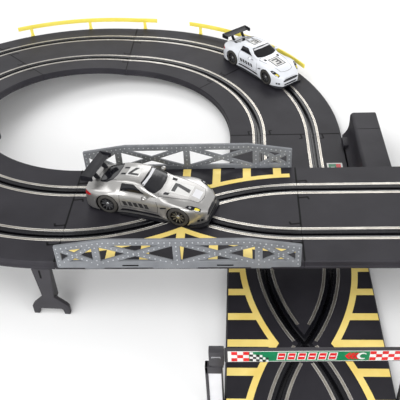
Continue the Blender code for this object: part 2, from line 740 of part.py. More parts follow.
def make_gears(name, rear_axis, parent):
    """Face-toothed crown wheel on the rear axle and the motor's pinion beside it."""
    pinion_tip, crown_face = 1.4 * MM, 1.85 * MM
    outline = gear_outline(CROWN_TEETH, 5.4 * MM, 6 * MM)
    crown = extruded(name + "_crown_gear", outline, 2 * MM, "gear_plastic", rear_axis)
    crown.location.y = crown_face + MM
    low, high = (0, -MM, 0), (0, 8 * MM, 0)
    combine(crown, cylinder(name + "_crown_bore", low, high, AXLE_RADIUS + GAP, parent=rear_axis))
    shaft = bpy.data.objects.new(name + "_motor_axis", None)
    SET.objects.link(shaft)
    shaft.parent = parent
    shaft.location = (-WHEELBASE / 2 + MESH_AHEAD, 0, TYRE_RADIUS)
    turn = Matrix.Rotation(math.pi / 2, 4, "Z")
    outline = gear_outline(PINION_TEETH, MM, pinion_tip)
    pinion = extruded(name + "_motor_pinion", outline, 2 * MM, "gear_plastic", shaft)
    pinion.matrix_local = turn
    low, high = (0.5 * MM, 0, 0), (2.6 * MM, 0, 0)
    rod = cylinder(name + "_motor_shaft", low, high, 0.6 * MM, parent=shaft, segments=10)
    combine(pinion, rod, "UNION")


def make_motor(name, parent):
    start = -WHEELBASE / 2 + 8 * MM
    low, high = (start, -6 * MM, 5 * MM), (start + 22 * MM, 6 * MM, 13.6 * MM)
    motor = box(name, low, high, "motor_steel", parent)
    edge = motor.modifiers.new("Rounded can", "BEVEL")
    edge.width = 1.4 * MM
    edge.segments = 2
    return motor


def make_guide(name, parent, swivel):
    """Guide keel: pivot pin through the floor, shoe under it and a blade in the slot."""
    pivot = bpy.data.objects.new(name + "_pivot_axis", None)
    SET.objects.link(pivot)
    pivot.parent = parent
    pivot.location = (GUIDE_AHEAD, 0, 0)
    pivot.rotation_euler.z = swivel
    guide = box(name, (-5 * MM, -2.2 * MM, 0.1 * MM), (5 * MM, 2.2 * MM, 0.9 * MM), "trim_black", pivot)
    low, high = (-4 * MM, -0.6 * MM, -4 * MM), (4 * MM, 0.6 * MM, 0.6 * MM)
    blade = box(name + "_blade", low, high, parent=pivot)
    pin = cylinder(name + "_pin", (0, 0, 0.6 * MM), (0, 0, 4.2 * MM), 2 * MM, parent=pivot)
    combine(guide, blade, "UNION")
    combine(guide, pin, "UNION")


def make_car(name, paint, place, swivel):
    """All of one car, parented to an empty on the track surface at mid-wheelbase."""
    car = bpy.data.objects.new(name, None)
    SET.objects.link(car)
    shell = make_body_shell(name + "_body_shell", paint, car)
    make_window_openings(name + "_body_shell", shell, car)
    make_window_insert(name + "_window_insert", car)
    make_wing(name + "_rear_wing", car)
    make_chassis(name + "_chassis", car)
    make_motor(name + "_motor", car)
    make_guide(name + "_guide_keel", car, swivel)
    for end, x in (("rear", -WHEELBASE / 2), ("front", WHEELBASE / 2)):
        axis = make_axle("%s_%s_axle" % (name, end), car, x)
        for hand, side in (("left", 1), ("right", -1)):
            make_wheel("%s_%s_%s_wheel" % (name, end, hand), axis, side)
        if end == "rear":
            make_gears(name, axis, car)
    car.matrix_world = place


def silver_place():
    """Silver car part-way through the bridge crossing's first arc."""
    half = MODULE / 2
    radius = (half**2 + LANE_OFFSET**2) / (2 * LANE_OFFSET)
    arc_turn = math.radians(31)
    x = -MODULE + radius * math.sin(arc_turn)
    guide = Vector((x, LANE_OFFSET - radius * (1 - math.cos(arc_turn)), 0))
    heading = math.radians(-16.5)
    centre = guide - Vector((math.cos(heading), math.sin(heading), 0)) * GUIDE_AHEAD
    centre.z = BRIDGE_RISE + TRACK_THICKNESS + RIDE_GAP
    return Matrix.Translation(centre) @ Matrix.Rotation(heading, 4, "Z"), -arc_turn - heading


def white_place():
    """White car in the outer lane of the rear lobe's ramp, tipped to the ramp's slope."""
    lane = CURVE_RADIUS + LANE_OFFSET
    guide_turn = math.radians(34.5)
    lag = math.asin(GUIDE_AHEAD / lane)
    centre_turn = guide_turn + lag
    slope = (JOINT_RISE[1] / math.radians(CURVE_STEP)) / lane
    outward = Vector((math.cos(centre_turn), math.sin(centre_turn), 0))
    centre = LOBE_CENTRE + outward * lane * math.cos(lag)
    centre.z = rise_at(math.degrees(centre_turn)) + TRACK_THICKNESS + RIDE_GAP
    heading = centre_turn - math.pi / 2
    tip = Matrix.Rotation(math.atan(slope), 4, "Y")
    return Matrix.Translation(centre) @ Matrix.Rotation(heading, 4, "Z") @ tip, -lag


def make_cars():
    place, swivel = silver_place()
    make_car("silver_car", "silver_paint", place, swivel)
    place, swivel = white_place()
    make_car("white_car", "white_paint", place, swivel)


make_track()
make_supports()
make_trusses()
make_guard_rails()
make_gantry()
make_housing()
make_cars()
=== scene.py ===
import json
import math

import bmesh
import bpy
from mathutils import Matrix, Vector
from mathutils.bvhtree import BVHTree


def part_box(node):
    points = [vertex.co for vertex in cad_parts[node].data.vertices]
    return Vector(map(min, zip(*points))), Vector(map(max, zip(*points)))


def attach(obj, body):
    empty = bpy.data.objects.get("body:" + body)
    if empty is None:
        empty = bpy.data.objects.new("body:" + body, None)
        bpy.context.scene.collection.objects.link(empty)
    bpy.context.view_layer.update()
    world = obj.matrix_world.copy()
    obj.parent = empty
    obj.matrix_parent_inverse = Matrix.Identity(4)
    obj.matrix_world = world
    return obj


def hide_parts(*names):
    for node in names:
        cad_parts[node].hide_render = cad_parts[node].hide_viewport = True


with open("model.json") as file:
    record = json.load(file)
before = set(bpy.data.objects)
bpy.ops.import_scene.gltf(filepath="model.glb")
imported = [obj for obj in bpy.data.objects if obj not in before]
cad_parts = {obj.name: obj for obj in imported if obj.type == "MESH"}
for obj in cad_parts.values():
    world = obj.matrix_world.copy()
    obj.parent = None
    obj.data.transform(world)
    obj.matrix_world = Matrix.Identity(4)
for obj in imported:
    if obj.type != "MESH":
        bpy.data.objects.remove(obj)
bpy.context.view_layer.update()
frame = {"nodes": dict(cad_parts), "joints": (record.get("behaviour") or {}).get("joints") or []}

MM = 0.001
Z = Vector((0, 0, 1))
HALF_TURN = Matrix.Rotation(math.pi, 4, "Z")
TRACK, SUPPORT, TRIM = "track_plastic", "support_plastic", "trim_black"

# ---------------- sizes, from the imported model

JOINT_GAP = 0.15
DECK_LOW, DECK_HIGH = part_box("bridge_straight")
SLAB = (DECK_HIGH.z - DECK_LOW.z) / MM
HALF = DECK_HIGH.y / MM
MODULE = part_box("connection_straight")[1].y + JOINT_GAP * MM
LOBE = Vector((-MODULE, MODULE, 0))
RISE = [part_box("rear_curve_%d" % i)[0].z for i in range(1, 7)] + [DECK_LOW.z]
JOINTS = {joint["name"]: joint for joint in frame["joints"]}

# Sizes that the CAD source states, in millimetres and degrees.
HALF_MODULE = 100
CURVE = 45
LANE = 30
SLOT = 1.5
RAIL_OFFSET = 6.1
SET_BACK = 10
LEG_THICKNESS = 4
WEB_DEPTH = 14.5
BEAM_THICKNESS = 4
ARC_RADIUS = (HALF_MODULE**2 + LANE**2) / (2 * LANE)


# ---------------- materials


def join_nodes(tree, rows):
    """Link sockets, each row being (node, output, node, input)."""
    for source, output, target, socket in rows:
        tree.links.new(source.outputs[output], target.inputs[socket])


def material(name, dark, light, rough=(0.4, 0.55), metallic=0.0, patch=30, grain=1500, bump=0.06,
             coat=0.0, detail=6, spec=0.5):
    """Principled surface whose colour drifts between two tones, with grain in its gloss and relief."""
    made = bpy.data.materials.new(name)
    made.use_nodes = True
    nodes = made.node_tree.nodes
    shader = nodes["Principled BSDF"]
    shader.inputs["Metallic"].default_value = metallic
    shader.inputs["Coat Weight"].default_value = coat
    shader.inputs["Specular IOR Level"].default_value = spec
    shader.inputs["Coat Roughness"].default_value = 0.08
    place = nodes.new("ShaderNodeTexCoord")
    drift = nodes.new("ShaderNodeTexNoise")
    drift.inputs["Scale"].default_value = patch
    drift.inputs["Detail"].default_value = detail
    tones = nodes.new("ShaderNodeValToRGB")
    tones.color_ramp.elements[0].position = 0.3
    tones.color_ramp.elements[0].color = (*dark, 1)
    tones.color_ramp.elements[1].position = 0.7
    tones.color_ramp.elements[1].color = (*light, 1)
    fine = nodes.new("ShaderNodeTexNoise")
    fine.inputs["Scale"].default_value = grain
    fine.inputs["Detail"].default_value = 2
    gloss = nodes.new("ShaderNodeMapRange")
    gloss.inputs["To Min"].default_value, gloss.inputs["To Max"].default_value = rough
    relief = nodes.new("ShaderNodeBump")
    relief.inputs["Strength"].default_value = bump
    relief.inputs["Distance"].default_value = 0.0002
    join_nodes(made.node_tree, [
        (place, "Object", drift, "Vector"), (place, "Object", fine, "Vector"),
        (drift, "Fac", tones, "Fac"), (tones, "Color", shader, "Base Color"),
        (fine, "Fac", gloss, "Value"), (gloss, "Result", shader, "Roughness"),
        (fine, "Fac", relief, "Height"), (relief, "Normal", shader, "Normal")])
    return made


M = {
    "track": material("track_black", (0.016, 0.015, 0.019), (0.026, 0.0245, 0.03), (0.42, 0.55),
                      bump=0.12, spec=0.18),
    # Near-black look for the faces of the sunken slot channels: painted shade in the recess, on the track's
    # own black plastic.
    "slot": material("slot_channel_painted_shade", (0.003, 0.003, 0.004), (0.007, 0.007, 0.01), (0.2, 0.32), spec=0.35),
    "joint": material("joint_black", (0.002, 0.002, 0.002), (0.005, 0.005, 0.006), (0.5, 0.6), spec=0.1),
    "rail": material("rail_metal", (0.3, 0.275, 0.235), (0.42, 0.39, 0.34), (0.3, 0.42), 0.8, 90, 2500),
    # The rail metal again, lighter: a painted highlight on the rails' turned-up edges.
    "painted_rail_highlight": material("rail_metal_painted_highlight", (0.55, 0.53, 0.5), (0.7, 0.68, 0.64), (0.2, 0.3),
                          0.85, 90, 2500),
    "stripe": material("stripe_yellow", (0.86, 0.64, 0.16), (0.95, 0.76, 0.25), (0.42, 0.55), 0, 60),
    "support": material("support_black", (0.022, 0.021, 0.025), (0.034, 0.032, 0.037), (0.4, 0.52),
                        bump=0.12, spec=0.3),
    "truss": material("truss_grey", (0.125, 0.132, 0.144), (0.17, 0.179, 0.193), (0.38, 0.5), 0, 80,
                      bump=0.1, spec=0.4),
    # Rivet heads are moulded in the truss's grey; this lighter look is a painted highlight on their domes.
    "rivet": material("rivet_painted_highlight", (0.36, 0.375, 0.39), (0.5, 0.515, 0.53), (0.3, 0.4), 0.2, 400),
    "guard": material("guard_yellow", (0.9, 0.74, 0.1), (0.98, 0.84, 0.16), (0.35, 0.45), 0, 50),
    "gantry": material("gantry_black", (0.028, 0.027, 0.031), (0.04, 0.038, 0.043), (0.4, 0.5),
                       bump=0.1, spec=0.3),
    "panel": material("panel_grey", (0.5, 0.5, 0.52), (0.74, 0.74, 0.76), (0.35, 0.45), 0, 25, detail=2),
    "white": material("print_white", (0.58, 0.575, 0.56), (0.68, 0.675, 0.66), (0.35, 0.45), 0, 60),
    "green": material("print_green", (0.003, 0.13, 0.05), (0.006, 0.19, 0.075), (0.35, 0.45), 0, 120),
    "red": material("print_red", (0.5, 0.006, 0.01), (0.62, 0.012, 0.016), (0.35, 0.45), 0, 120),
    "black": material("print_black", (0.01, 0.01, 0.011), (0.022, 0.022, 0.024), (0.3, 0.45), 0, 120),
    "silver": material("silver_lacquer", (0.35, 0.343, 0.333), (0.43, 0.421, 0.41), (0.25, 0.33),
                       0.8, 25, 3500, 0.05, 0.4),
    "pearl": material("white_lacquer", (0.66, 0.68, 0.72), (0.74, 0.76, 0.8), (0.16, 0.26),
                      0, 25, 3500, 0.03, 0.4),
    "glass": material("smoked_glass", (0.004, 0.004, 0.006), (0.01, 0.01, 0.013), (0.08, 0.14),
                      0, 60, 900, 0.02, 0.2, spec=0.3),
    "trim": material("trim_black", (0.005, 0.005, 0.007), (0.012, 0.012, 0.016), (0.32, 0.45),
                     0, 120, spec=0.22),
    "lamp": material("lamp_yellow", (0.62, 0.5, 0.02), (0.85, 0.75, 0.1), (0.1, 0.2), 0, 300, coat=0.8),
    "tail": material("tail_red", (0.25, 0.003, 0.004), (0.45, 0.008, 0.01), (0.1, 0.2), 0, 300, coat=0.8),
    "tyre": material("tyre_rubber", (0.028, 0.026, 0.024), (0.044, 0.041, 0.037), (0.7, 0.85),
                     0, 250, 2500, 0.3),
    # Spoke look: the rim's black, drawn lighter as a painted highlight on the spokes.
    "rim": material("rim_black", (0.13, 0.13, 0.135), (0.2, 0.2, 0.21), (0.2, 0.3), 0.7, 250),
    "hub": material("hub_silver", (0.45, 0.45, 0.46), (0.62, 0.62, 0.63), (0.25, 0.35), 0.85, 400),
    "steel": material("axle_steel", (0.42, 0.42, 0.43), (0.6, 0.6, 0.6), (0.25, 0.38), 1.0, 300),
    "nylon": material("gear_nylon", (0.66, 0.63, 0.54), (0.76, 0.74, 0.66), (0.4, 0.5), 0, 200),
    "floor": material("floor_white", (0.9, 0.9, 0.9), (0.93, 0.93, 0.93), (0.6, 0.7), 0, 2),
    "can": material("motor_can", (0.4, 0.4, 0.42), (0.52, 0.52, 0.54), (0.28, 0.42), 1.0, 150),
}


# ---------------- mesh helpers


def piece(name, bm, looks, body="track_layout", slot=None, replaced=None, place=Matrix(), sharp=32):
    """Make a finished piece from a bmesh: looks, smooth shading, body, replaced node; `slot` is not used."""
    obj = loose_object(name, bm, looks)
    shade(obj, sharp)
    obj.matrix_world = place
    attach(obj, body)
    if replaced:
        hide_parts(replaced)
    return obj


def shade(obj, sharp):
    """Smooth shading with edges sharper than so many degrees kept."""
    obj.data.shade_smooth()
    obj.data.set_sharp_from_angle(angle=math.radians(sharp))


def loose_object(name, bm, looks):
    """Object made from a bmesh with its looks, not yet on a body."""
    bmesh.ops.recalc_face_normals(bm, faces=bm.faces)
    mesh = bpy.data.meshes.new(name)
    bm.to_mesh(mesh)
    bm.free()
    for look in looks:
        mesh.materials.append(M[look])
    obj = bpy.data.objects.new(name, mesh)
    bpy.context.scene.collection.objects.link(obj)
    return obj


def cut_away(obj, bm, looks):
    """Cut a closed bmesh out of an object; the cut faces take the looks given."""
    cutter = loose_object("cut", bm, looks)
    modifier = obj.modifiers.new("cut", "BOOLEAN")
    modifier.operation = "DIFFERENCE"
    modifier.solver = "EXACT"
    modifier.object = cutter
    graph = bpy.context.evaluated_depsgraph_get()
    mesh = bpy.data.meshes.new_from_object(obj.evaluated_get(graph))
    obj.modifiers.clear()
    obj.data = mesh
    bpy.data.objects.remove(cutter)


def box_mm(node):
    """Low and high corners of a CAD node in millimetres."""
    return [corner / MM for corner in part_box(node)]


def moved(x, y, z, turn=0.0, axis="Z"):
    """Matrix that turns about an axis and then shifts by millimetres."""
    return Matrix.Translation(Vector((x, y, z)) * MM) @ Matrix.Rotation(turn, 4, axis)


def face(bm, corners, index=0):
    bm.faces.new(corners).material_index = index


def loft(bm, rings, index=0, looks=None, start=True, end=True):
    """Join rings of vertices edge by edge, each edge with its own look if given, and cap the ends."""
    for near, far in zip(rings, rings[1:]):
        for i in range(len(near)):
            j = (i + 1) % len(near)
            face(bm, (near[i], near[j], far[j], far[i]), looks[i] if looks else index)
    if start:
        face(bm, rings[0], index)
    if end:
        face(bm, rings[-1][::-1], index)


def sweep(bm, outline, stations, looks=None, index=0):
    """Loft an (across, up) outline in millimetres through stations of (origin, across)."""
    loft(bm, [[bm.verts.new(origin + (across * u + Z * w) * MM) for u, w in outline]
              for origin, across in stations], index, looks)


def ribbon(bm, first, second, thickness, index=0):
    """Closed strip between two lines of points; its underside lies `thickness` millimetres below."""
    down = Z * (-thickness * MM)
    loft(bm, [[bm.verts.new(p) for p in (a, b, b + down, a + down)] for a, b in zip(first, second)], index)


def block(bm, corner, opposite, round_by=0.0, index=0, place=Matrix()):
    """Box between two opposite corners in millimetres, its edges rounded if asked."""
    size = [abs(b - a) * MM for a, b in zip(corner, opposite)]
    centre = [(a + b) / 2 * MM for a, b in zip(corner, opposite)]
    matrix = place @ Matrix.Translation(centre) @ Matrix.Diagonal((*size, 1))
    verts = bmesh.ops.create_cube(bm, size=1, matrix=matrix)["verts"]
    faces = {f for v in verts for f in v.link_faces}
    if round_by:
        edges = list({e for v in verts for e in v.link_edges})
        result = bmesh.ops.bevel(bm, geom=edges, offset=round_by * MM, segments=2, profile=0.5,
                                 affect="EDGES")
        faces = {f for f in faces if f.is_valid} | set(result["faces"])
    for f in faces:
        f.material_index = index


def prism(bm, outline, low, high, index=0, axis="y"):
    """Flat outline in millimetres made solid along Y (outline in X, Z) or Z (outline in X, Y)."""
    loft(bm, [[bm.verts.new(Vector((a, c, b) if axis == "y" else (a, b, c)) * MM) for a, b in outline]
              for c in (low, high)], index)


def turned(bm, profile, steps=40, index=0):
    """Ring turned about Y from (radius, along) points in millimetres."""
    rings = []
    for i in range(steps):
        turn = math.tau * i / steps
        c, s = math.cos(turn) * MM, math.sin(turn) * MM
        rings.append([bm.verts.new((r * c, y * MM, r * s)) for r, y in profile])
    loft(bm, rings + rings[:1], index, start=False, end=False)


def dome(bm, centre, direction, radius, height):
    """Rivet head: a shallow dome on a flat face."""
    segments = 8
    place = Matrix.Translation(centre) @ Z.rotation_difference(Vector(direction)).to_matrix().to_4x4()
    rings = []
    for share, lift in ((1, -0.3), (1, 0.2), (0.75, 0.75)):
        spot = Vector((radius * share, 0, height * lift)) * MM
        turns = [Matrix.Rotation(math.tau * i / segments, 4, "Z") for i in range(segments)]
        rings.append([bm.verts.new(place @ turn @ spot) for turn in turns])
    loft(bm, rings, end=False)
    tip = bm.verts.new(place @ Vector((0, 0, height * MM)))
    for i in range(segments):
        face(bm, (rings[-1][i], rings[-1][(i + 1) % segments], tip))


def rounded(points, radius, steps=4):
    """A closed outline with its corners rounded."""
    out = []
    count = len(points)
    for i in range(count):
        p = Vector(points[i])
        a, b = Vector(points[i - 1]) - p, Vector(points[(i + 1) % count]) - p
        reach = min(radius, a.length / 2.1, b.length / 2.1)
        start, end = p + a.normalized() * reach, p + b.normalized() * reach
        for k in range(steps + 1):
            t = k / steps
            spot = start * (1 - t) ** 2 + p * 2 * t * (1 - t) + end * t**2
            out.append((spot.x, spot.y))
    return out


# ---------------- camera, floor and light

scene = bpy.context.scene
scene.view_settings.view_transform = "Standard"
lens = bpy.data.cameras.new("view")
lens.lens = 60.2
lens.sensor_width = 36
lens.shift_y = 0.0165
lens.clip_start = 0.01
camera = bpy.data.objects.new("view", lens)
scene.collection.objects.link(camera)
right = Vector((0.99758744, 0.04702578, -0.05106728))
above = Vector((0.00964489, 0.63459571, 0.7727841))
back = right.cross(above)
camera.matrix_world = Matrix((right, above, back)).transposed().to_4x4()
camera.matrix_world.translation = Vector((-0.045476, -0.443828, 0.430529))
scene.camera = camera

bm = bmesh.new()
bmesh.ops.create_grid(bm, x_segments=8, y_segments=8, size=6)
floor = loose_object("floor", bm, ["floor"])
floor.location.z = -0.3 * MM

world = bpy.data.worlds.new("studio")
scene.world = world
world.use_nodes = True
sky = world.node_tree.nodes
sky_place = sky.new("ShaderNodeTexCoord")
sky_parts = sky.new("ShaderNodeSeparateXYZ")
sky_fade = sky.new("ShaderNodeMapRange")
sky_fade.inputs["To Min"].default_value = 1.2
sky_fade.inputs["To Max"].default_value = 0.45
sky["Background"].inputs["Color"].default_value = (1, 1, 1, 1)
join_nodes(world.node_tree, [
    (sky_place, "Generated", sky_parts, "Vector"), (sky_parts, "Z", sky_fade, "Value"),
    (sky_fade, "Result", sky["Background"], "Strength")])


def soft_light(name, spot, aim, size, power):
    lamp = bpy.data.lights.new(name, "AREA")
    lamp.shape = "RECTANGLE"
    lamp.size, lamp.size_y = size
    lamp.energy = power
    obj = bpy.data.objects.new(name, lamp)
    scene.collection.objects.link(obj)
    obj.location = spot
    obj.rotation_euler = (Vector(aim) - Vector(spot)).to_track_quat("-Z", "Y").to_euler()


soft_light("key", (-0.9, -0.5, 1.5), (0, 0, 0), (1.2, 0.9), 9)
soft_light("front", (-0.25, -1.75, 0.75), (0, 0, 0.03), (1.3, 0.6), 24)
soft_light("fill", (1.1, -0.9, 1.0), (0, 0, 0), (0.9, 0.9), 5)
soft_light("rim", (0.2, 1.5, 1.1), (0, 0, 0), (1.4, 0.5), 8)


# ---------------- track


def spread(first, last, count):
    """Even steps from first to last, both included."""
    return [first + (last - first) * i / count for i in range(count + 1)]


def rise_at(degrees):
    step = min(max(int(degrees // CURVE), 0), 5)
    return RISE[step] + (RISE[step + 1] - RISE[step]) * (degrees / CURVE - step)


def lobe_station(degrees, lobe="rear"):
    turn = math.radians(degrees)
    outward = Vector((math.cos(turn), math.sin(turn), 0))
    origin = LOBE + outward * MODULE + Z * rise_at(degrees)
    if lobe == "front":
        origin, outward = HALF_TURN @ origin, HALF_TURN @ outward
    return origin, outward


def curve_stations(index, lobe):
    gap, pieces = 0.0625, 18
    first, last = index * CURVE + gap, (index + 1) * CURVE - gap
    return [lobe_station(degrees, lobe) for degrees in spread(first, last, pieces)]


def lobe_place(degrees):
    """Matrix on the rear lobe's centre line with local Y outwards."""
    origin, outward = lobe_station(degrees)
    turn = math.atan2(outward.y, outward.x) - math.pi / 2
    return Matrix.Translation(origin) @ Matrix.Rotation(turn, 4, "Z")


def straight_stations(start, end):
    start, end = Vector(start), Vector(end)
    along = (end - start).normalized()
    across = along.cross(Z)
    gap = along * JOINT_GAP * MM
    return [(start + gap, across), (end - gap, across)]


CHANNEL = [(4.6, SLAB), (4.3, 6.95), (2.1, 6.8), (SLOT, 6.1), (SLOT, 2.5)]
CHANNEL += [(-u, w) for u, w in reversed(CHANNEL)]


def slab_section(slots=True):
    """Track cross-section: flanged sides, eased top edges, and a sunken channel round each slot, its faces
    drawn near black as painted shade.
    """
    side = [(HALF, 0), (HALF, 1.5), (HALF - 0.6, 2.1), (HALF - 0.6, 6.4), (HALF - 1.5, SLAB)]
    points = [(-HALF, 0)] + side
    looks = [0] * len(points)
    if slots:
        for lane in (LANE, -LANE):
            points += [(lane + u, w) for u, w in CHANNEL]
            # The channel faces take look 1, the near-black painted shade.
            looks += [1] * (len(CHANNEL) - 1) + [0]
    return points + [(-u, w) for u, w in side[:0:-1]], looks + [0] * 4


RAIL = [(-1.35, -0.3), (1.35, -0.3), (1.35, 0.15), (1.2, 0.3), (0.95, 0.3), (0.8, 0.12)]
RAIL += [(-u, w) for u, w in RAIL[:1:-1]]
# Look 1 marks the turned-up edges, which carry the painted highlight.
RAIL_LOOKS = [0, 0, 1, 1, 1, 0, 1, 1, 1, 0]


def rail_strip(bm, offset, stations):
    """Conductor rail: a metal strip with turned-up edges, which take a lighter copy of the rail metal as a
    painted highlight.
    """
    sweep(bm, [(offset + u, SLAB + w) for u, w in RAIL], stations, RAIL_LOOKS)


def make_plain_track(name, stations):
    bm = bmesh.new()
    points, looks = slab_section()
    sweep(bm, points, stations, looks)
    piece(name + "_moulding", bm, ["track", "slot"], slot=TRACK, replaced=name)
    bm = bmesh.new()
    for lane in (LANE, -LANE):
        for side in (-1, 1):
            rail_strip(bm, lane + side * RAIL_OFFSET, stations)
    piece(name + "_rails", bm, ["rail", "painted_rail_highlight"])


def lane_at(x, side):
    """Lane centre's y and its heading on a crossing piece, at x from its middle."""
    arc = math.asin((HALF_MODULE - abs(x)) / ARC_RADIUS)
    y = LANE - ARC_RADIUS * (1 - math.cos(arc))
    return (y if x < 0 else -y) * side, -arc * side


def lane_stations(place, side, start, end, count=24):
    stations = []
    for x in spread(start, end, count):
        y, heading = lane_at(x, side)
        across = Vector((math.sin(heading), -math.cos(heading), 0))
        stations.append((place @ (Vector((x, y, 0)) * MM), place.to_3x3() @ across))
    return stations


def band_edge(offset, mirror_x, side, place):
    """Line beside a lane, from near the joint to the middle of the piece."""
    def at(x):
        y, heading = lane_at(x, 1)
        return x - math.sin(heading) * offset, y + math.cos(heading) * offset
    spots = spread(-95, HALF_MODULE * (ARC_RADIUS / (ARC_RADIUS + offset) - 1), 16)
    return [place @ (Vector((x * mirror_x, y * side, SLAB + 0.1)) * MM) for x, y in map(at, spots)]


def make_crossing(name, centre, turn):
    """Lane-swap piece: two crossing slots, rails that stop short of them, and yellow print."""
    place = Matrix.Translation(centre) @ Matrix.Rotation(turn, 4, "Z")
    ends = straight_stations(place @ Vector((-MODULE / 2, 0, 0)), place @ Vector((MODULE / 2, 0, 0)))
    bm = bmesh.new()
    points, looks = slab_section(slots=False)
    sweep(bm, points, ends, looks)
    slab = piece(name + "_moulding", bm, ["track", "slot"], slot=TRACK, replaced=name)
    above_slab, run = SLAB + 4.5, place.to_3x3() @ Vector((4 * MM, 0, 0))
    edge = CHANNEL[0][0]
    cut = [(edge, above_slab)] + CHANNEL + [(-edge, above_slab)]
    for side in (1, -1):
        bm = bmesh.new()
        stations = lane_stations(place, side, -HALF_MODULE, HALF_MODULE, count=48)
        for end, shift in ((0, -run), (-1, run)):
            stations[end] = (stations[end][0] + shift, stations[end][1])
        # The cut walls take look 1, the slot channel's near-black painted shade.
        sweep(bm, cut, stations, index=1)
        cut_away(slab, bm, ["track", "slot"])
    shade(slab, 32)

    bm = bmesh.new()
    last, far_stop, near_stop = HALF_MODULE - JOINT_GAP, 16.5, 5.5
    for side in (1, -1):
        for rail in (1, -1):
            before, after = (near_stop, far_stop) if rail * side < 0 else (far_stop, near_stop)
            for start, end in ((-last, -before), (after, last)):
                rail_strip(bm, rail * RAIL_OFFSET, lane_stations(place, side, start, end))
    piece(name + "_rails", bm, ["rail", "painted_rail_highlight"])

    bm = bmesh.new()
    band, pitch, half_bar, reach = (17.4, 22.7), 27.75, 3.65, HALF - 1.6
    for side in (1, -1):
        for mirror_x in (1, -1):
            ribbon(bm, *(band_edge(offset, mirror_x, side, place) for offset in band), 0.35)
        for k in range(-3, 4):
            x = pitch * k
            y, heading = lane_at(-abs(x), 1)
            near = min(y + 20 / math.cos(heading), 60) if k else 25.5
            lines = [[place @ (Vector((x + shift, b * side, SLAB + 0.07)) * MM) for b in (near, reach)]
                     for shift in (-half_bar, half_bar)]
            ribbon(bm, *lines, 0.3)
    piece(name + "_markings", bm, ["stripe"])


def seam_map(lobe=None, degrees=0, origin=(0, 0, 0), turn=0):
    """Map from (u across, v along) in millimetres to a point just above the track at a joint."""
    height = (SLAB + 0.06) * MM
    if lobe is None:
        place = Matrix.Translation(origin) @ Matrix.Rotation(math.radians(turn), 4, "Z")
        return lambda u, v: place @ Vector((v * MM, u * MM, height))

    def at(u, v):
        shift = math.degrees(v * MM / MODULE)
        inside = 0 <= degrees + shift <= 6 * CURVE
        origin, outward = lobe_station(degrees + shift if inside else degrees, lobe)
        point = origin - outward * (u * MM)
        if not inside:
            point += Z.cross(outward) * (v * MM)
        return point + Z * height
    return at


def joint_marks():
    """Dark seams between track pieces, with their hooked clips."""
    bm = bmesh.new()
    maps = [seam_map(origin=(0, 0, DECK_LOW.z)), seam_map(turn=90)]
    for lobe in ("rear", "front"):
        maps += [seam_map(lobe, CURVE * i) for i in range(7)]
    lines = [((low, 0), (high, 0), 1.6) for low, high in ((-62, -38), (-21.5, 21.5), (38, 62))]
    for u, way in ((41, 1), (17, 1), (-17, -1), (-41, -1)):
        lines.append(((u, 0.3 * way), (u + 1.2 * way, 8.5 * way), 1.7))
        lines.append(((u + 1.7 * way, 8.2 * way), (u - 2.2 * way, 9.4 * way), 1.6))
    for at in maps:
        for start, stop, width in lines:
            start, stop = Vector(start), Vector(stop)
            run = (stop - start).normalized()
            side = Vector((-run.y, run.x)) * width / 2
            spots = [start.lerp(stop, i / 4) for i in range(5)]
            ribbon(bm, [at(*(p + side)) for p in spots], [at(*(p - side)) for p in spots], 0.3)
    piece("joint_seams", bm, ["joint"])


make_plain_track("bridge_straight", straight_stations((0, 0, DECK_LOW.z), (MODULE, 0, DECK_LOW.z)))
make_plain_track("connection_straight", straight_stations((0, 0, 0), (0, MODULE, 0)))
for lobe in ("rear", "front"):
    for index in range(6):
        make_plain_track("%s_curve_%d" % (lobe, index + 1), curve_stations(index, lobe))
make_crossing("bridge_crossing", (-MODULE / 2, 0, DECK_LOW.z), 0)
make_crossing("lower_crossing", (0, -MODULE / 2, 0), math.pi / 2)
joint_marks()


# ---------------- supports


def dress_node(node, look):
    """Give a carried-over CAD node its look."""
    mesh = frame["nodes"][node].data
    mesh.materials.clear()
    mesh.materials.append(M[look])


def make_support(lobe, part, degrees):
    """Portal of two forked legs joined by a beam; local Y runs across the track."""
    node = "%s_%s" % (lobe, part)
    tall = box_mm(node)[1].z
    place = lobe_place(degrees)
    place.translation.z = 0
    if lobe == "front":
        place = HALF_TURN @ place
    side = [(8, tall), (5, 0.38 * tall), (14.4, 11.4), (16, 9), (16, 0.5), (15.5, 0), (11.4, 0), (11, 0.6),
            (10.4, 5), (9, 6.2)]
    outline = side + [(-x, z) for x, z in side[::-1]]
    bm = bmesh.new()
    for way in (1, -1):
        prism(bm, outline, way * (HALF - LEG_THICKNESS), way * HALF)
    bmesh.ops.recalc_face_normals(bm, faces=bm.faces)
    edges = [e for e in bm.edges if e.calc_face_angle() > math.radians(60)]
    bmesh.ops.bevel(bm, geom=edges, offset=0.5 * MM, segments=2, profile=0.5, affect="EDGES")
    block(bm, (-6, 1 - HALF, tall - BEAM_THICKNESS), (6, HALF - 1, tall - 0.05), 0.5)
    for way in (1, -1):
        web = way * (HALF - LEG_THICKNESS - WEB_DEPTH)
        block(bm, (-1.6, web, 6.4), (1.6, way * (HALF - 1), tall - 1), 0.4)
        block(bm, (0.6, way * (HALF - 0.5), tall - 10.5), (2.2, way * (HALF + 0.06), tall - 1.5), index=1)
    piece(node + "_portal", bm, ["support", "joint"], slot=SUPPORT, replaced=node, place=place)


for lobe in ("rear", "front"):
    make_support(lobe, "ramp_support", 180)
    make_support(lobe, "top_support", 225)
    make_support(lobe, "bridge_support", 270 - math.degrees(SET_BACK * MM / MODULE))
    dress_node(lobe + "_ramp_column", "support")


# ---------------- trusses and guard rails


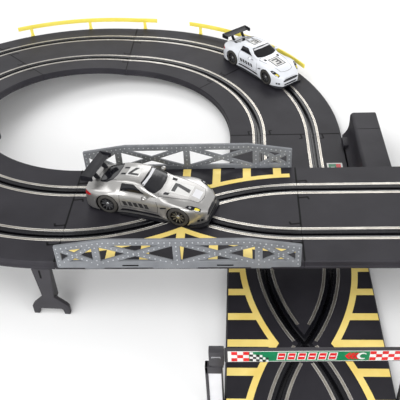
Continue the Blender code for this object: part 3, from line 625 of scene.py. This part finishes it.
def make_truss(name):
    """Moulded lattice panel: chords, posts and thinner crossed diagonals, with rivets and tabs."""
    low, high = box_mm(name)
    centre = Vector(((low.x + high.x) / 2, (low.y + high.y) / 2, low.z))
    half, tall = (high.x - low.x) / 2, high.z - low.z
    end, slope, chord, deep = 23, 40, 5.8, 1.2
    pitch, rivet, proud_by, end_gap = 4.4, 0.6, 0.42, 5
    knee = half - slope
    posts = [-half + 2.4, -half + 33, 0, half - 33, half - 2.4]

    def top_at(x):
        return tall + (end - tall) * max(abs(x) - knee, 0) / slope

    def bar(x0, z0, x1, z1, depth, corner=0.0, steps=2):
        outline = [(x0, z0), (x1, z0), (x1, z1), (x0, z1)]
        prism(bm, rounded(outline, corner, steps) if corner else outline, -depth, depth)
    bm = bmesh.new()
    crown = [(-half, end), (-knee, tall), (knee, tall), (half, end)]
    prism(bm, rounded(crown + [(x, z - chord) for x, z in crown[::-1]], 0.8, 2), -deep, deep)
    bar(-half, 0, half, 7, deep, 2, 3)
    for x in posts:
        wide = 2.4 if abs(x) > half - 5 else 3
        bar(x - wide, 3, x + wide, top_at(x) - 3, 1.1)
    slants = []
    for a, b in zip(posts, posts[1:]):
        for foot, head in ((a, b), (b, a)):
            slants.append((Vector((foot, 3.6)), Vector((head, top_at(head) - 3.4))))
    for i, (start, stop) in enumerate(slants):
        side = Vector((start.y - stop.y, stop.x - start.x)).normalized() * 2.2
        depth = 0.95 - 0.05 * (i % 2)
        prism(bm, [start - side, stop - side, stop + side, start + side], -depth, depth)
    for x, wide in ((-67, 8), (-2, 18), (66, 8)):
        bar(x - wide, -1.2, x + wide, 3, 1.15, 0.6)
    bmesh.ops.translate(bm, verts=bm.verts, vec=centre * MM)
    panel = piece(name + "_lattice", bm, ["truss"], slot="truss_grey", replaced=name, sharp=40)
    soft = panel.modifiers.new("eased", "BEVEL")
    soft.width = 0.35 * MM
    soft.segments = 2
    soft.limit_method = "ANGLE"
    soft.angle_limit = math.radians(50)

    # Rivet domes, in a lighter look than the moulding: painted highlight.
    bm = bmesh.new()
    lines = [(Vector((-knee, tall - 2.9)), Vector((knee, tall - 2.9)), deep)]
    for way in (-1, 1):
        lines.append((Vector((way * (half - 2), end - 2.6)), Vector((way * (knee + 4), tall - 3.4)), deep))
    lines += [(Vector((x, 3.5)), Vector((x, top_at(x) - 7)), 1.1) for x in posts]
    for start, stop in slants:
        inset = (stop - start).normalized() * end_gap
        lines.append((start + inset, stop - inset, 0.9))
    for start, stop, proud in lines:
        count = max(round((stop - start).length / pitch), 1)
        for i in range(count + 1):
            spot = start.lerp(stop, i / count)
            for side in (-1, 1):
                at = (centre + Vector((spot.x, side * proud, spot.y))) * MM
                dome(bm, at, (0, side, 0), rivet, proud_by)
    piece(name + "_rivets", bm, ["rivet"], slot="truss_grey")

    # Thin near-black plates where the lower chord's notches are: painted shade in place of the notches'
    # depth.
    bm = bmesh.new()
    for x in (-37.7, 37.7):
        for side in (-1, 1):
            y = side * deep
            block(bm, (x - 6.5, y - 0.15, 1.9), (x + 6.5, y + 0.15, 3.2), place=moved(*centre))
    piece(name + "_notch_painted_shade", bm, ["joint"])


def make_guard_rail(name, ends, posts):
    """Length of rail on posts that hook over the track's edge."""
    inner = HALF + 0.3
    bm = bmesh.new()
    section = [(0.1, 17), (1.4, 17), (1.55, 17.6), (1.55, 21.9), (1.4, 22.5), (0.1, 22.5), (-0.05, 21.9),
               (-0.05, 17.6)]
    sweep(bm, [(inner + u, w) for u, w in section], [lobe_station(turn) for turn in spread(*ends, 30)])
    for degrees in posts:
        place = lobe_place(degrees)
        block(bm, (-2, inner + 0.1, 0), (2, inner + 1.6, 17.5), 0.35, place=place)
        block(bm, (-2.6, inner - 0.2, 6.6), (2.6, inner + 1.5, 8.6), 0.35, place=place)
    piece(name + "_strip", bm, ["guard"], slot="guard_yellow", replaced=name)


make_truss("bridge_truss_front")
make_truss("bridge_truss_back")
make_guard_rail("guard_rail_left", (83.5, 126.5), (87.5, 104.5, 122.5))
make_guard_rail("guard_rail_right", (29.5, 73), (34, 52, 69.5))


# ---------------- gantry and housing


def make_gantry_post(name):
    """Roadside board in a frame, with the boxed head that carries the banner."""
    low, high = box_mm(name)
    side = -1 if low.x < 0 else 1
    y, outer, inner, top = (low.y + high.y) / 2, side * 75.6, side * 63.3, 46
    bm = bmesh.new()
    for x0, x1 in ((outer, outer - side * 2.2), (inner, inner + side * 0.9)):
        block(bm, (x0, y - 3, 0), (x1, y + 3, top), 0.4)
    for bottom, upper in ((38.6, top), (0, 3)):
        block(bm, (outer, y - 3, bottom), (inner, y + 3, upper), 0.4)
    block(bm, (outer - side * 0.5, y - 2, 1), (inner + side * 0.5, y + 2, 41), index=1)
    a, b = sorted((side * 72.4, side * 61.8))
    raised = 1.6 if side > 0 else 0
    block(bm, (a, y - 3.2, 48 + raised), (b, y + 3.2, 62.4 + raised), 0.6)
    block(bm, (a + 1.2, y - 2.6, 45), (b - 0.6, y + 2.6, 49 + raised), 0.3, index=2)
    block(bm, (a + 2, y - 3.4, 56.2 + raised), (b - 2.4, y + 3.4, 57.8 + raised), 0.2, index=1)
    piece(name + "_board", bm, ["gantry", "panel", "joint"], slot="gantry_black", replaced=name)


def make_banner():
    """Banner over the track: frame, white border and a printed strip of generic racing patterns."""
    low, high = box_mm("gantry_banner")
    wide, tall = high.x - low.x, high.z - low.z
    white, green, red, black = 1, 2, 3, 4
    bm = bmesh.new()
    block(bm, low, high, 0.5)

    def plate(outline, depth, index):
        prism(bm, outline, low.y - depth, low.y + 0.3, index)
        prism(bm, [(-x, z) for x, z in outline][::-1], high.y - 0.3, high.y + depth, index)

    def bar(x0, x1, z0, z1, depth, index):
        plate([(x0, z0), (x1, z0), (x1, z1), (x0, z1)], depth, index)
    bottom, top = low.z + 1.5, high.z - 2.1
    middle = (bottom + top) / 2
    bar(low.x + 2.3, high.x - 2.3, bottom - 0.5, top + 0.5, 0.05, white)
    bar(-44.4, 37.6, bottom, top, 0.1, green)
    square, row = 4.1, (top - bottom) / 3
    for start, columns in ((-56.7, 3), (37.8, 5)):
        for i in range(columns):
            for j in range(i % 2, 3, 2):
                x, z = start + i * square, bottom + j * row
                bar(x, x + square, z, z + row, 0.1, red)
    for i in range(6):
        for j in range(4):
            x, z, size = -44 + i * 2.3, bottom + 0.3 + j * 2.2 - i * 0.2, 2.3 - 0.15 * i
            if z > bottom - 0.9 and z + 2.2 < top + 0.5 - i * 1.1:
                look = white if (i + j) % 2 else black
                plate([(x, z), (x + size, z - 0.2), (x + size, z + 2), (x, z + 2.2)], 0.14, look)
    for i in range(6):
        x, slant = -25.6 + i * 7, 0.9
        for grow, look in ((0, white), (0.65, red)):
            z0, z1 = bottom + 1 + grow, top - 1 - grow
            x0, x1 = x + grow, x + 5.9 - grow
            plate([(x0, z0), (x1, z0), (x1 + slant, z1), (x0 + slant, z1)], 0.14 + grow * 0.08, look)
        z0, z1 = middle - 0.5, middle + 0.5
        plate([(x + 1.5, z0), (x + 5, z0), (x + 5.2, z1), (x + 1.7, z1)], 0.23, white)
    for i in range(3):
        x, z0, z1 = 20.9 + i * 2.6, bottom + 1.4, top - 1.4
        plate([(x, middle), (x + 2.6, z1), (x + 4.4, z1), (x + 2.2, middle), (x + 4.4, z0), (x + 2.6, z0)],
              0.14 + 0.04 * i, red)
    turns = [math.radians(40 + 20 * i) for i in range(14)]
    ring = [(32.6 + 3.6 * math.cos(a), middle + 3.4 * math.sin(a)) for a in turns]
    hole = [(33.4 + 2.3 * math.cos(a), middle + 2.3 * math.sin(a)) for a in turns]
    plate(ring + hole[::-1], 0.28, white)
    rise, droop = 3, 1.8
    for v in bm.verts:
        along, share = (v.co.x / MM - low.x) / wide, (v.co.z / MM - low.z) / tall
        v.co.z = (low.z - droop + rise * along + share * (14.3 - 1.1 * along)) * MM
    piece("finish_banner", bm, ["gantry", "white", "green", "red", "black"], slot="banner_green",
          replaced="gantry_banner", sharp=20)


def make_housing():
    """Cover over the connections: hooded near side and two lead sockets, with a seam, a lug and a decal."""
    low, high = box_mm("connection_housing")
    inner, outer, top, near, far = low.x, high.x, high.z, low.y, high.y
    foot, hood, bend = SLAB + 0.5, 6.4, 4
    outline = [(outer, 0), (outer, top - 1.2), (outer - 0.4, top - 0.4), (outer - 1.2, top)]
    for degrees in range(0, 91, 10):
        turn = math.radians(degrees)
        outline.append((inner + hood + bend * (1 - math.sin(turn)), top - bend * (1 - math.cos(turn))))
    for i in range(1, 13):
        part = i / 12
        outline.append((inner + hood * (1 - part**4), top - bend - (top - bend - foot) * part))
    outline.append((inner, 0))
    bm = bmesh.new()
    centre_x, centre_z = (sum(p[k] for p in outline) / len(outline) for k in (0, 1))
    rings = []
    for y, inset in ((near, 0.9), (near + 0.3, 0.3), (near + 1, 0),
                     (far - 1, 0), (far - 0.3, 0.3), (far, 0.9)):
        share, ring = 1 - inset / 18, []
        for x, z in outline:
            height = max(centre_z + (z - centre_z) * share, 0.2) if z else max(centre_z * (1 - share), 0)
            ring.append(bm.verts.new(Vector((centre_x + (x - centre_x) * share, y, height)) * MM))
        rings.append(ring)
    loft(bm, rings)
    for y in (-30, 30):
        start = len(bm.verts)
        # Each lead socket: a ring with a flat disc inside whose near-black look is painted shade in place of
        # the hole's depth.
        turned(bm, [(1.8, -0.6), (1.8, 0.15), (3.4, 0.15), (3.4, -0.6)], 24, 1)
        turned(bm, [(0.05, -0.6), (0.05, 0.08), (1.8, 0.08), (1.8, -0.6)], 24, 2)
        bm.verts.ensure_lookup_table()
        place = moved(outer - 0.2, (near + far) / 2 + y, 14, -math.pi / 2)
        bmesh.ops.transform(bm, matrix=place, verts=bm.verts[start:])
    piece("connection_cover", bm, ["track", "gantry", "joint"], slot=TRACK,
          replaced="connection_housing", sharp=30)
    bm = bmesh.new()
    seam = 163
    block(bm, (inner + 9.5, seam - 0.35, top - 1), (outer - 1, seam + 0.35, top))
    piece("connection_cover_seam", bm, ["joint"])
    bm = bmesh.new()
    block(bm, (inner - 2.4, 168, SLAB + 0.1), (inner + 7, 185, SLAB + 5.5), 1.2)
    block(bm, (inner - 1.2, 167.8, SLAB + 1.4), (inner + 2.4, 169, SLAB + 4.2), 0.3, 1)
    piece("connection_cover_lug", bm, ["track", "joint"])
    bm = bmesh.new()
    white, green, red = range(3)
    fields = [(40.8, 127, 57, 143.2, 0.08, white), (42.4, 128.6, 50.3, 141.4, 0.13, green),
              (50.3, 128.6, 55.2, 141.4, 0.13, red), (44.4, 131.5, 48.4, 136, 0.17, white)]
    for x0, y0, x1, y1, lift, look in fields:
        block(bm, (x0, y0, SLAB - 0.3), (x1, y1, SLAB + lift), 0, look)
    piece("straight_decal", bm, ["white", "green", "red"])


make_gantry_post("gantry_post_left")
make_gantry_post("gantry_post_right")
make_banner()
make_housing()

# ---------------- cars
# Car coordinates in millimetres: X ahead of mid-wheelbase, Y to the left, Z above the tyres' foot.

TAIL, NOSE = -53.5, 55.5
HALF_WIDTH = [(TAIL, 19), (-50, 21.4), (-43, 22.8), (-32, 22.8), (-23, 21.4), (-16, 20.2), (0, 19.9),
              (15, 20.2), (22, 21.4), (30, 22.7), (39, 22.6), (44, 21), (49, 18.4), (53, 15.6), (NOSE, 12.5)]
SHOULDER = [(TAIL, 20), (-46, 22), (-32, 22.8), (-14, 21.4), (10, 21), (30, 22), (38, 21.4), (44, 19.6),
            (50, 16.8), (NOSE, 12.4)]
CENTRE_TOP = [(TAIL, 22), (-50, 24.2), (-42, 25.6), (-27, 31.2), (-16, 33.1), (-7, 33.2), (-2, 32.4),
              (13, 24), (22, 23.2), (40, 21.4), (50, 17.8), (NOSE, 13.6)]
CABIN_BASE = [(TAIL, 15), (-40, 16.6), (-20, 17.8), (6, 17.8), (14, 17), (NOSE, 11)]
CABIN_TOP = [(TAIL, 11), (-42, 12), (-24, 13.6), (-3, 13.4), (12, 15.6), (22, 14), (NOSE, 8)]
FLOOR = 2.5
TYRE_RADIUS = 9.3
ARCH_GAP = 1.15
WHEEL_Y = 19
SPLINE_STEPS = 4
FAR = 90


def linear(x, table):
    for (x0, v0), (x1, v1) in zip(table, table[1:]):
        if x <= x1:
            return v0 + (v1 - v0) * (max(x, x0) - x0) / (x1 - x0)
    return table[-1][1]


def between(x, table):
    """Table value with its corners eased over a few millimetres."""
    ease = min(2.4, x - table[0][0], table[-1][0] - x)
    return sum(linear(x + ease * k / 3, table) for k in range(-3, 4)) / 7


def body_corners(x, inset=0.0):
    """Half section at a station, from the sill up to the centre line, as (across, up)."""
    width, shoulder = between(x, HALF_WIDTH) - inset, between(x, SHOULDER)
    top = between(x, CENTRE_TOP) - inset
    base, roof = between(x, CABIN_BASE), between(x, CABIN_TOP) - inset
    lift = max(top - shoulder, 0)
    sides = [(width - 0.6, FLOOR), (width, 6), (width, 0.7 * shoulder)]
    sides.append((width - 1.3, 0.93 * shoulder - inset * 0.4))
    sides.append((min(base + 1.2, width - 2.8), shoulder + min(0.2 * lift, 1.2) - inset * 0.7))
    sides.append((0.45 * base + 0.55 * roof + 0.6, shoulder + 0.58 * lift - inset * 0.5))
    return sides + [(roof, shoulder + 0.9 * lift), (roof * 0.55, top - 0.02 * lift), (0, top)]


def smooth_line(points):
    """Spline through the points that doesn't overshoot, with both ends kept."""
    points = [Vector(p) for p in points]
    padded = [points[0] * 2 - points[1]] + points + [points[-1] * 2 - points[-2]]
    out = []
    for i in range(1, len(padded) - 2):
        p0, p1, p2, p3 = padded[i - 1:i + 3]
        chord = (p2 - p1).length
        m1 = (p2 - p0) / max((p2 - p0).length, 1e-6) * chord * 0.9
        m2 = (p3 - p1) / max((p3 - p1).length, 1e-6) * chord * 0.9
        for k in range(SPLINE_STEPS):
            t = k / SPLINE_STEPS
            out.append(p1 * (2 * t**3 - 3 * t**2 + 1) + m1 * (t**3 - 2 * t**2 + t)
                       + p2 * (3 * t**2 - 2 * t**3) + m2 * (t**3 - t**2))
    return out + [points[-1]]


def body_loft(first, last, inset=0.0, skip=0, foot=None, count=72):
    """Closed body volume between two stations; `skip` leaves out corners from the sill up."""
    bm = bmesh.new()
    rings = []
    for x in spread(first, last, count):
        half = body_corners(x, inset)
        half[-1] = (0.01, half[-1][1])
        half = smooth_line(half)[SPLINE_STEPS * skip:]
        if foot is not None:
            half = [Vector((half[0].x, foot))] + half
        ring = half[:-1] + [Vector((0, half[-1].y))] + [Vector((-p.x, p.y)) for p in half[-2::-1]]
        rings.append([bm.verts.new(Vector((x, p.x, p.y)) * MM) for p in ring])
    loft(bm, rings)
    bmesh.ops.recalc_face_normals(bm, faces=bm.faces)
    return bm


class Drape:
    """Thin closed patches laid on a body as seen from one side, in that side's millimetres."""

    views = {
        "top": (lambda u, v: (u, v, FAR), (0, 0, -1)),
        "left": (lambda u, v: (u, FAR, v), (0, -1, 0)),
        "right": (lambda u, v: (u, -FAR, v), (0, 1, 0)),
        "nose": (lambda u, v: (FAR, u, v), (-1, 0, 0)),
        "tail": (lambda u, v: (-FAR, u, v), (1, 0, 0)),
    }
    grid, depth = 1.3, 0.3

    def __init__(self, bm, body):
        self.bm, self.body = bm, body

    def on_body(self, view, spot):
        """Point and outward normal of the body under a spot of the view."""
        start, direction = self.views[view]
        start, direction = Vector(start(*spot)) * MM, Vector(direction)
        point, normal = self.body.ray_cast(start, direction)[:2]
        return point, -normal if normal.dot(direction) > 0 else normal

    def patch(self, view, first, second, index=0, lift=0.06):
        """Patch between two lines with as many points."""
        first, second = [Vector(p) for p in first], [Vector(p) for p in second]
        lines = []
        for a, b, c, d in zip(first, first[1:], second, second[1:]):
            parts = max(int(max((b - a).length, (d - c).length) / self.grid), 1)
            lines += [(a.lerp(b, k / parts), c.lerp(d, k / parts)) for k in range(parts)]
        lines.append((first[-1], second[-1]))
        rows = max(int(max((a - b).length for a, b in lines) / self.grid), 1)
        rings = []
        for a, b in lines:
            spots = [self.on_body(view, a.lerp(b, k / rows)) for k in range(rows + 1)]
            ring = [point + normal * lift * MM for point, normal in spots]
            ring += [point - normal * self.depth * MM for point, normal in spots[::-1]]
            rings.append([self.bm.verts.new(p) for p in ring])
        loft(self.bm, rings, index, start=False, end=False)
        for ring in (rings[0], rings[-1]):
            for k in range(rows):
                face(self.bm, (ring[k], ring[k + 1], ring[-2 - k], ring[-1 - k]), index)

    def box(self, view, low, high, index=0, lift=0.06):
        (a, b), (c, d) = low, high
        self.patch(view, [(a, b), (c, b)], [(a, d), (c, d)], index, lift)

    def both(self, view, first, second, index=0, lift=0.06):
        """The same patch on the car's two sides."""
        self.patch(view, first, second, index, lift)
        flip = (1, -1) if view == "top" else (-1, 1)
        first, second = ([(u * flip[0], v * flip[1]) for u, v in line] for line in (first, second))
        self.patch(view, first, second, index, lift)

    def line(self, view, points, width=0.35, index=0, lift=0.04):
        points = [Vector(p) for p in points]
        ends = [points[0]] + points + [points[-1]]
        sides = []
        for before, after in zip(ends, ends[2:]):
            run = after - before
            sides.append(Vector((-run.y, run.x)).normalized() * width / 2)
        first, second = ([p + s * way for p, s in zip(points, sides)] for way in (1, -1))
        self.patch(view, first, second, index, lift)


def mirrored(points):
    return [(x, -y) for x, y in points]


SCREEN = [(13.6, 0), (13.3, 5), (12.4, 10), (10.2, 15.6), (4, 15.6), (-3, 12.6), (-2.2, 8), (-1.6, 0)]
BACKLIGHT = [(-25.8, 0), (-26.2, 6), (-28.2, 12.4), (-34, 14), (-41, 12.2), (-43, 6.5), (-43.6, 0)]
SIDE_WINDOW = [(-20.6, 23.6), (-19.4, 30.2), (-8, 30.6), (2.2, 23.4)]


def make_shell(fit, paint, place, axles):
    """Painted body, hollow, with wheel arches and window openings; returns its uncut surface."""
    outer = body_loft(TAIL, NOSE)
    surface = BVHTree.FromBMesh(outer)
    slot = "silver_paint" if paint == "silver" else "white_paint"
    shell = fit("shell", outer, [paint, "trim"], slot, "body_shell", 40)
    shell.matrix_world = Matrix()
    inner = body_loft(-52.5, 54.4, 0.9)
    for v in inner.verts:
        if v.co.z < (FLOOR + 0.1) * MM:
            v.co.z = -2 * MM
    cut_away(shell, inner, [paint])
    arch, turns = TYRE_RADIUS + ARCH_GAP, [math.tau * i / 56 for i in range(56)]
    for x in axles:
        bm = bmesh.new()
        for way in (1, -1):
            outline = [(x + arch * math.cos(a), TYRE_RADIUS + arch * math.sin(a)) for a in turns]
            prism(bm, outline, way * 14.5, way * 30)
        cut_away(shell, bm, [paint])
    for outline in (SCREEN, BACKLIGHT):
        bm = bmesh.new()
        prism(bm, rounded(outline[1:-1] + mirrored(outline[-2:0:-1]), 1.5, 3), 16, 42, axis="z")
        cut_away(shell, bm, [paint])
    bm = bmesh.new()
    for way in (1, -1):
        prism(bm, rounded(SIDE_WINDOW, 1.2, 3), way * 9, way * 30)
    cut_away(shell, bm, [paint])
    shade(shell, 35)
    shell.matrix_world = place
    return surface


def make_lines(fit, surface):
    """Panel gaps, vents, grille, sill stripes and the dark lamp housings."""
    bm = bmesh.new()
    on = Drape(bm, surface)
    bonnet = [(12.6, 12.4), (14, 16), (23, 14.4), (40, 11), (47, 9.6)]
    for points, width in ((bonnet, 0.35), ([(-25, 12.5), (-43, 10.5), (-52, 11)], 0.3)):
        on.line("top", points, width)
        on.line("top", mirrored(points), width)
    on.line("top", [(47, -9.6), (48.6, -5), (49, 0), (48.6, 5), (47, 9.6)])
    on.line("top", [(-45.5, -11), (-46.2, 0), (-45.5, 11)], 0.3)
    for view in ("left", "right"):
        on.line(view, [(13.5, 8.4), (14.2, 15), (12, 20.6)])
        on.line(view, [(-19.5, 9.6), (-20.6, 15), (-21, 21), (-20, 26)])
        on.line(view, [(-19.5, 9.6), (-4, 9), (13.5, 8.6)])
        on.line(view, [(16.4, 14.6), (22.5, 16.6)], 1.3)
        on.patch(view, [(-21, 5.4), (-19, 7.2), (-6, 7.4), (14.5, 7)],
                 [(-21, 5.2), (-19, 5), (-6, 5), (17.5, 4.6)])
        on.line(view, [(48.6, 6.6), (53, 6.4)], 2.2)
    on.both("top", [(17.2, 8.9), (21.6, 8.7)], [(16.7, 12.4), (21.1, 11.7)])
    on.both("top", [(-24, 3.2), (-19.6, 3.2)], [(-24.4, 5.6), (-20, 5.6)])
    on.both("top", [(39.2, 20), (43, 20), (47.6, 18.4), (51, 15.8)],
            [(40.4, 17.4), (44, 15.8), (48.2, 14.4), (50.6, 13.8)], 0, 0.08)
    on.box("nose", (-10, 3.4), (10, 5.4))
    on.patch("nose", [(-11.8, 10.2), (-8, 11.6), (8, 11.6), (11.8, 10.2)],
             [(-11.8, 9.2), (-9, 8.2), (9, 8.2), (11.8, 9.2)])
    on.box("tail", (-15, 3.2), (15, 8.6))
    fit("vents_and_lines", bm, ["trim"], TRIM)


def make_lamps(fit, surface):
    """Yellow lamps, silver reflectors, red tail lamps, and the bars of the tail panel and the grille."""
    lamp, tail, hub, trim = range(4)
    bm = bmesh.new()
    on = Drape(bm, surface)
    on.both("top", [(46.2, 18), (48.2, 17.2), (50, 15.8)],
            [(46.4, 15.9), (48.2, 15.2), (49.6, 14.6)], lamp, 0.16)
    on.both("top", [(41.6, 19), (43.4, 18.9)], [(41.9, 17.5), (43.6, 17.2)], hub, 0.16)
    on.both("tail", [(11.4, 15.6), (18.4, 16.4)], [(11.4, 18.2), (18, 19)], tail, 0.16)
    for view in ("left", "right"):
        on.patch(view, [(-53.2, 15.6), (-50, 15.8), (-46.6, 17.2)],
                 [(-53.2, 18.6), (-50, 18.8), (-46.6, 17.8)], tail, 0.16)
    for y in (-9.4, -4.7, 0, 4.7, 9.4):
        on.line("tail", [(y, 3.4), (y, 8.2)], 0.6, trim, 0.5)
    on.line("nose", [(-8.4, 9.9), (8.4, 9.9)], 0.45, hub, 0.16)
    fit("lamps", bm, ["lamp", "tail", "hub", "trim"])


def make_printing(fit, paint, number, surface, glass):
    """Race numbers on plain plates, a pale bonnet panel, slanted door bars and the strip on the screen."""
    white, black, panel = range(3)
    bm = bmesh.new()
    on = Drape(bm, surface)
    if paint == "pearl":
        on.box("top", (20.4, -7.8), (38.2, 7.8), black, 0.05)
        on.box("top", (-19, -6.6), (-6.4, 6.6), black, 0.05)
        on.box("top", (21.7, -6.5), (36.9, 6.5), white, 0.09)
        on.box("top", (-17.9, -5.5), (-7.5, 5.5), white, 0.09)
        strokes = digit(number, 23.4, 35.2, 4.4, 2.4) + digit(number, -16.8, -8.6, 3.8, 1.8)
    else:
        on.box("top", (20.4, -7.6), (38.2, 7.4), white, 0.07)
        on.box("top", (-19, -6.4), (-6.8, 6.4), white, 0.07)
        on.box("top", (40, -5), (46.6, 5), panel, 0.07)
        sideways = digit(number, -5.3, 5.2, 4.7, 2.6)
        strokes = digit(number, 21.4, 36.8, 5.6, 3.4)
        for stroke in sideways:
            strokes.append([[(-12.8 - across, down) for down, across in line] for line in stroke])
    for first, second in strokes:
        on.patch("top", first, second, black, 0.13)
    for view, slant in (("left", 1.8), ("right", -1.8)):
        for k in range(5):
            x = -16.8 + 4.9 * k
            end = x + 3.3
            on.patch(view, [(x, 11), (end, 11)], [(x + slant, 15.2), (end + slant, 15.2)], black, 0.08)
    Drape(bm, glass).patch("top", [(-1.6, -12.2), (-1, -7), (-0.6, 0), (-1, 7), (-1.6, 12.2)],
                           [(0.6, -13), (1, -7), (1.3, 0), (1, 7), (0.6, 13)], panel)
    fit("printing", bm, ["white", "black", "panel"])


def make_mirrors(fit, paint):
    bm = bmesh.new()
    for side in (1, -1):
        turn = moved(3.4, 22.4 * side, 23.6, -0.25 * side)
        block(bm, (-1.6, -2.2, -1.5), (1.9, 2.2, 1.5), 1.1, 0, turn)
        block(bm, (-2.0, -1.6, -1.0), (-1.4, 1.6, 1.0), 0.25, 1, turn)
        stalk = moved(4.2, 19.8 * side, 21.6, 0.6 * side, "X")
        block(bm, (-0.9, -2.2, -0.5), (0.9, 2.2, 0.5), 0.3, 1, stalk)
    fit("mirrors", bm, [paint, "trim"], sharp=50)


def make_wing(fit):
    """Rear wing: a bowed aerofoil with end plates on two brackets."""
    nose_x, span, height = -45.4, 10, 32.8
    upper, lower = [], []
    for i in range(11):
        t = i / 10
        thick = 2.08 * math.sqrt(t) * (1 - t) + 0.12
        bow = -1.1 * math.sin(math.pi * t) - 0.5 * (1 - t) + 1.1 * t
        upper.append((nose_x - span * t, height + bow + thick / 2))
        lower.append((nose_x - span * t, height + bow - thick / 2))
    bm = bmesh.new()
    prism(bm, upper + lower[::-1], -19, 19)
    end_plate = rounded([(-55.9, 28.6), (-55.9, 34.1), (-44.8, 33.8), (-44.6, 29.4)], 1.0)
    bracket = rounded([(-53, 32.2), (-47.8, 31.8), (-43, 25.6), (-46.8, 24.2), (-48.4, 25.2)], 0.6)
    for side in (1, -1):
        prism(bm, end_plate, 18.1 * side, 19.2 * side)
        prism(bm, bracket, 7.4 * side, 8.6 * side)
    fit("wing", bm, ["trim"], TRIM, "rear_wing")


def make_car(name, paint, number):
    """One car, placed by its axle joints; its small running gear stays as the CAD has it."""
    car = name + "_car"
    rear, front = (Vector(JOINTS["%s_%s_axle_spin" % (name, end)]["pos_m"]) for end in ("rear", "front"))
    left = Vector(JOINTS[name + "_rear_axle_spin"]["axis"]).normalized()
    ahead = (front - rear).normalized()
    up = ahead.cross(left)
    place = Matrix((ahead, left, up)).transposed().to_4x4()
    place.translation = (rear + front) / 2 - up * TYRE_RADIUS * MM
    base = (front - rear).length / 2 / MM

    def fit(part, bm, looks, slot=None, replaced=None, sharp=32):
        replaced = replaced and "%s_%s" % (car, replaced)
        return piece("%s_%s" % (car, part), bm, looks, car, slot, replaced, place, sharp)
    surface = make_shell(fit, paint, place, (-base, base))
    bm = body_loft(-45, 14.8, 0.55, skip=4, foot=16.5, count=44)
    glass = BVHTree.FromBMesh(bm)
    fit("glazing", bm, ["glass"], "window_black", "window_insert", 45)
    make_lines(fit, surface)
    make_lamps(fit, surface)
    make_printing(fit, paint, number, surface, glass)
    make_mirrors(fit, paint)
    make_wing(fit)
    for end, x in (("front", base), ("rear", -base)):
        for side, hand in ((1, "left"), (-1, "right")):
            spot = place @ moved(x, WHEEL_Y * side, TYRE_RADIUS, 0 if side > 0 else math.pi)
            make_wheel("%s_%s_%s" % (car, end, hand), "%s_%s_axle" % (name, end), spot)
    looks = {"chassis": "trim", "motor": "can", "guide_keel": "trim", "front_axle": "steel",
             "rear_axle": "steel", "crown_gear": "nylon", "motor_pinion": "nylon"}
    for part, look in looks.items():
        dress_node(car + "_" + part, look)


def digit(number, x0, x1, wide, heavy):
    """Strokes of a 7, or else of a 3, that reads from the nose; X runs down the digit."""
    def bar(a, b, c, d):
        return [(a, c), (b, c)], [(a, d), (b, d)]
    top = bar(x0, x0 + heavy, -wide, wide)
    if number == 7:
        x2 = x0 + heavy
        return [top, ([(x2, wide - heavy * 1.1), (x1, -heavy * 0.9)], [(x2, wide), (x1, heavy * 0.4)])]
    middle = (x0 + x1) / 2
    return [top, bar(x0, x1, wide - heavy, wide),
            bar(middle - heavy / 2, middle + heavy / 2, -wide * 0.4, wide),
            bar(x1 - heavy, x1, -wide, wide)]


def make_wheel(name, body, place):
    """Tyre with eased shoulders and grooves round a dished ten-spoke rim; +Y is its outer face."""
    bm = bmesh.new()
    tread = []
    for i in range(5):
        y = -2.2 + 1.1 * i
        tread += [(TYRE_RADIUS, y - 0.32), (TYRE_RADIUS, y + 0.32), (9.05, y + 0.42), (9.05, y + 0.68)]
    profile = [(6.5, -3.0), (7.4, -3.25), (8.4, -3.1), (9.05, -2.7)] + tread[:-2]
    profile += [(9.05, 2.7), (8.4, 3.1), (7.4, 3.25), (6.9, 3.2), (6.5, 2.9)]
    turned(bm, profile, 48)
    piece(name + "_tyre", bm, ["tyre"], body=body, slot="tyre_black", replaced=name + "_wheel", place=place)

    # The rim is one black part: its barrel and the disc behind the spokes take the near-black joint look as
    # painted shade in the dish, the spokes the lighter rim look as a painted highlight.
    rim, hub, dark = range(3)
    bm = bmesh.new()
    barrel = [(6.55, -2.9), (6.55, 2.95), (6.2, 3.1), (5.85, 2.9), (5.7, 1.2), (5.2, 0.9), (5.2, -2.9)]
    turned(bm, barrel, 48, dark)
    turned(bm, [(0.02, 0), (0.02, 0.9), (5.4, 0.9), (5.4, 0)], 40, dark)
    spoke = [(1.2, -0.75, 1.9), (5.95, -0.42, 2.7), (5.95, 0.42, 2.7), (1.2, 0.75, 1.9)]
    for k in range(10):
        turn = Matrix.Rotation(math.tau * k / 10, 4, "Y")
        loft(bm, [[bm.verts.new(turn @ (Vector((x, 0.6, z)) * MM)) for x, z, _ in spoke],
                  [bm.verts.new(turn @ (Vector((x, y, z * 0.7)) * MM)) for x, z, y in spoke]], rim)
    turned(bm, [(0.02, 0.5), (0.02, 2.35), (1.0, 2.3), (1.5, 2.0), (1.75, 1.4), (1.75, 0.5)], 24, hub)
    piece(name + "_rim", bm, ["rim", "hub", "joint"], body=body, slot="tyre_black", place=place, sharp=35)


make_car("silver", "silver", 7)
make_car("white", "pearl", 3)
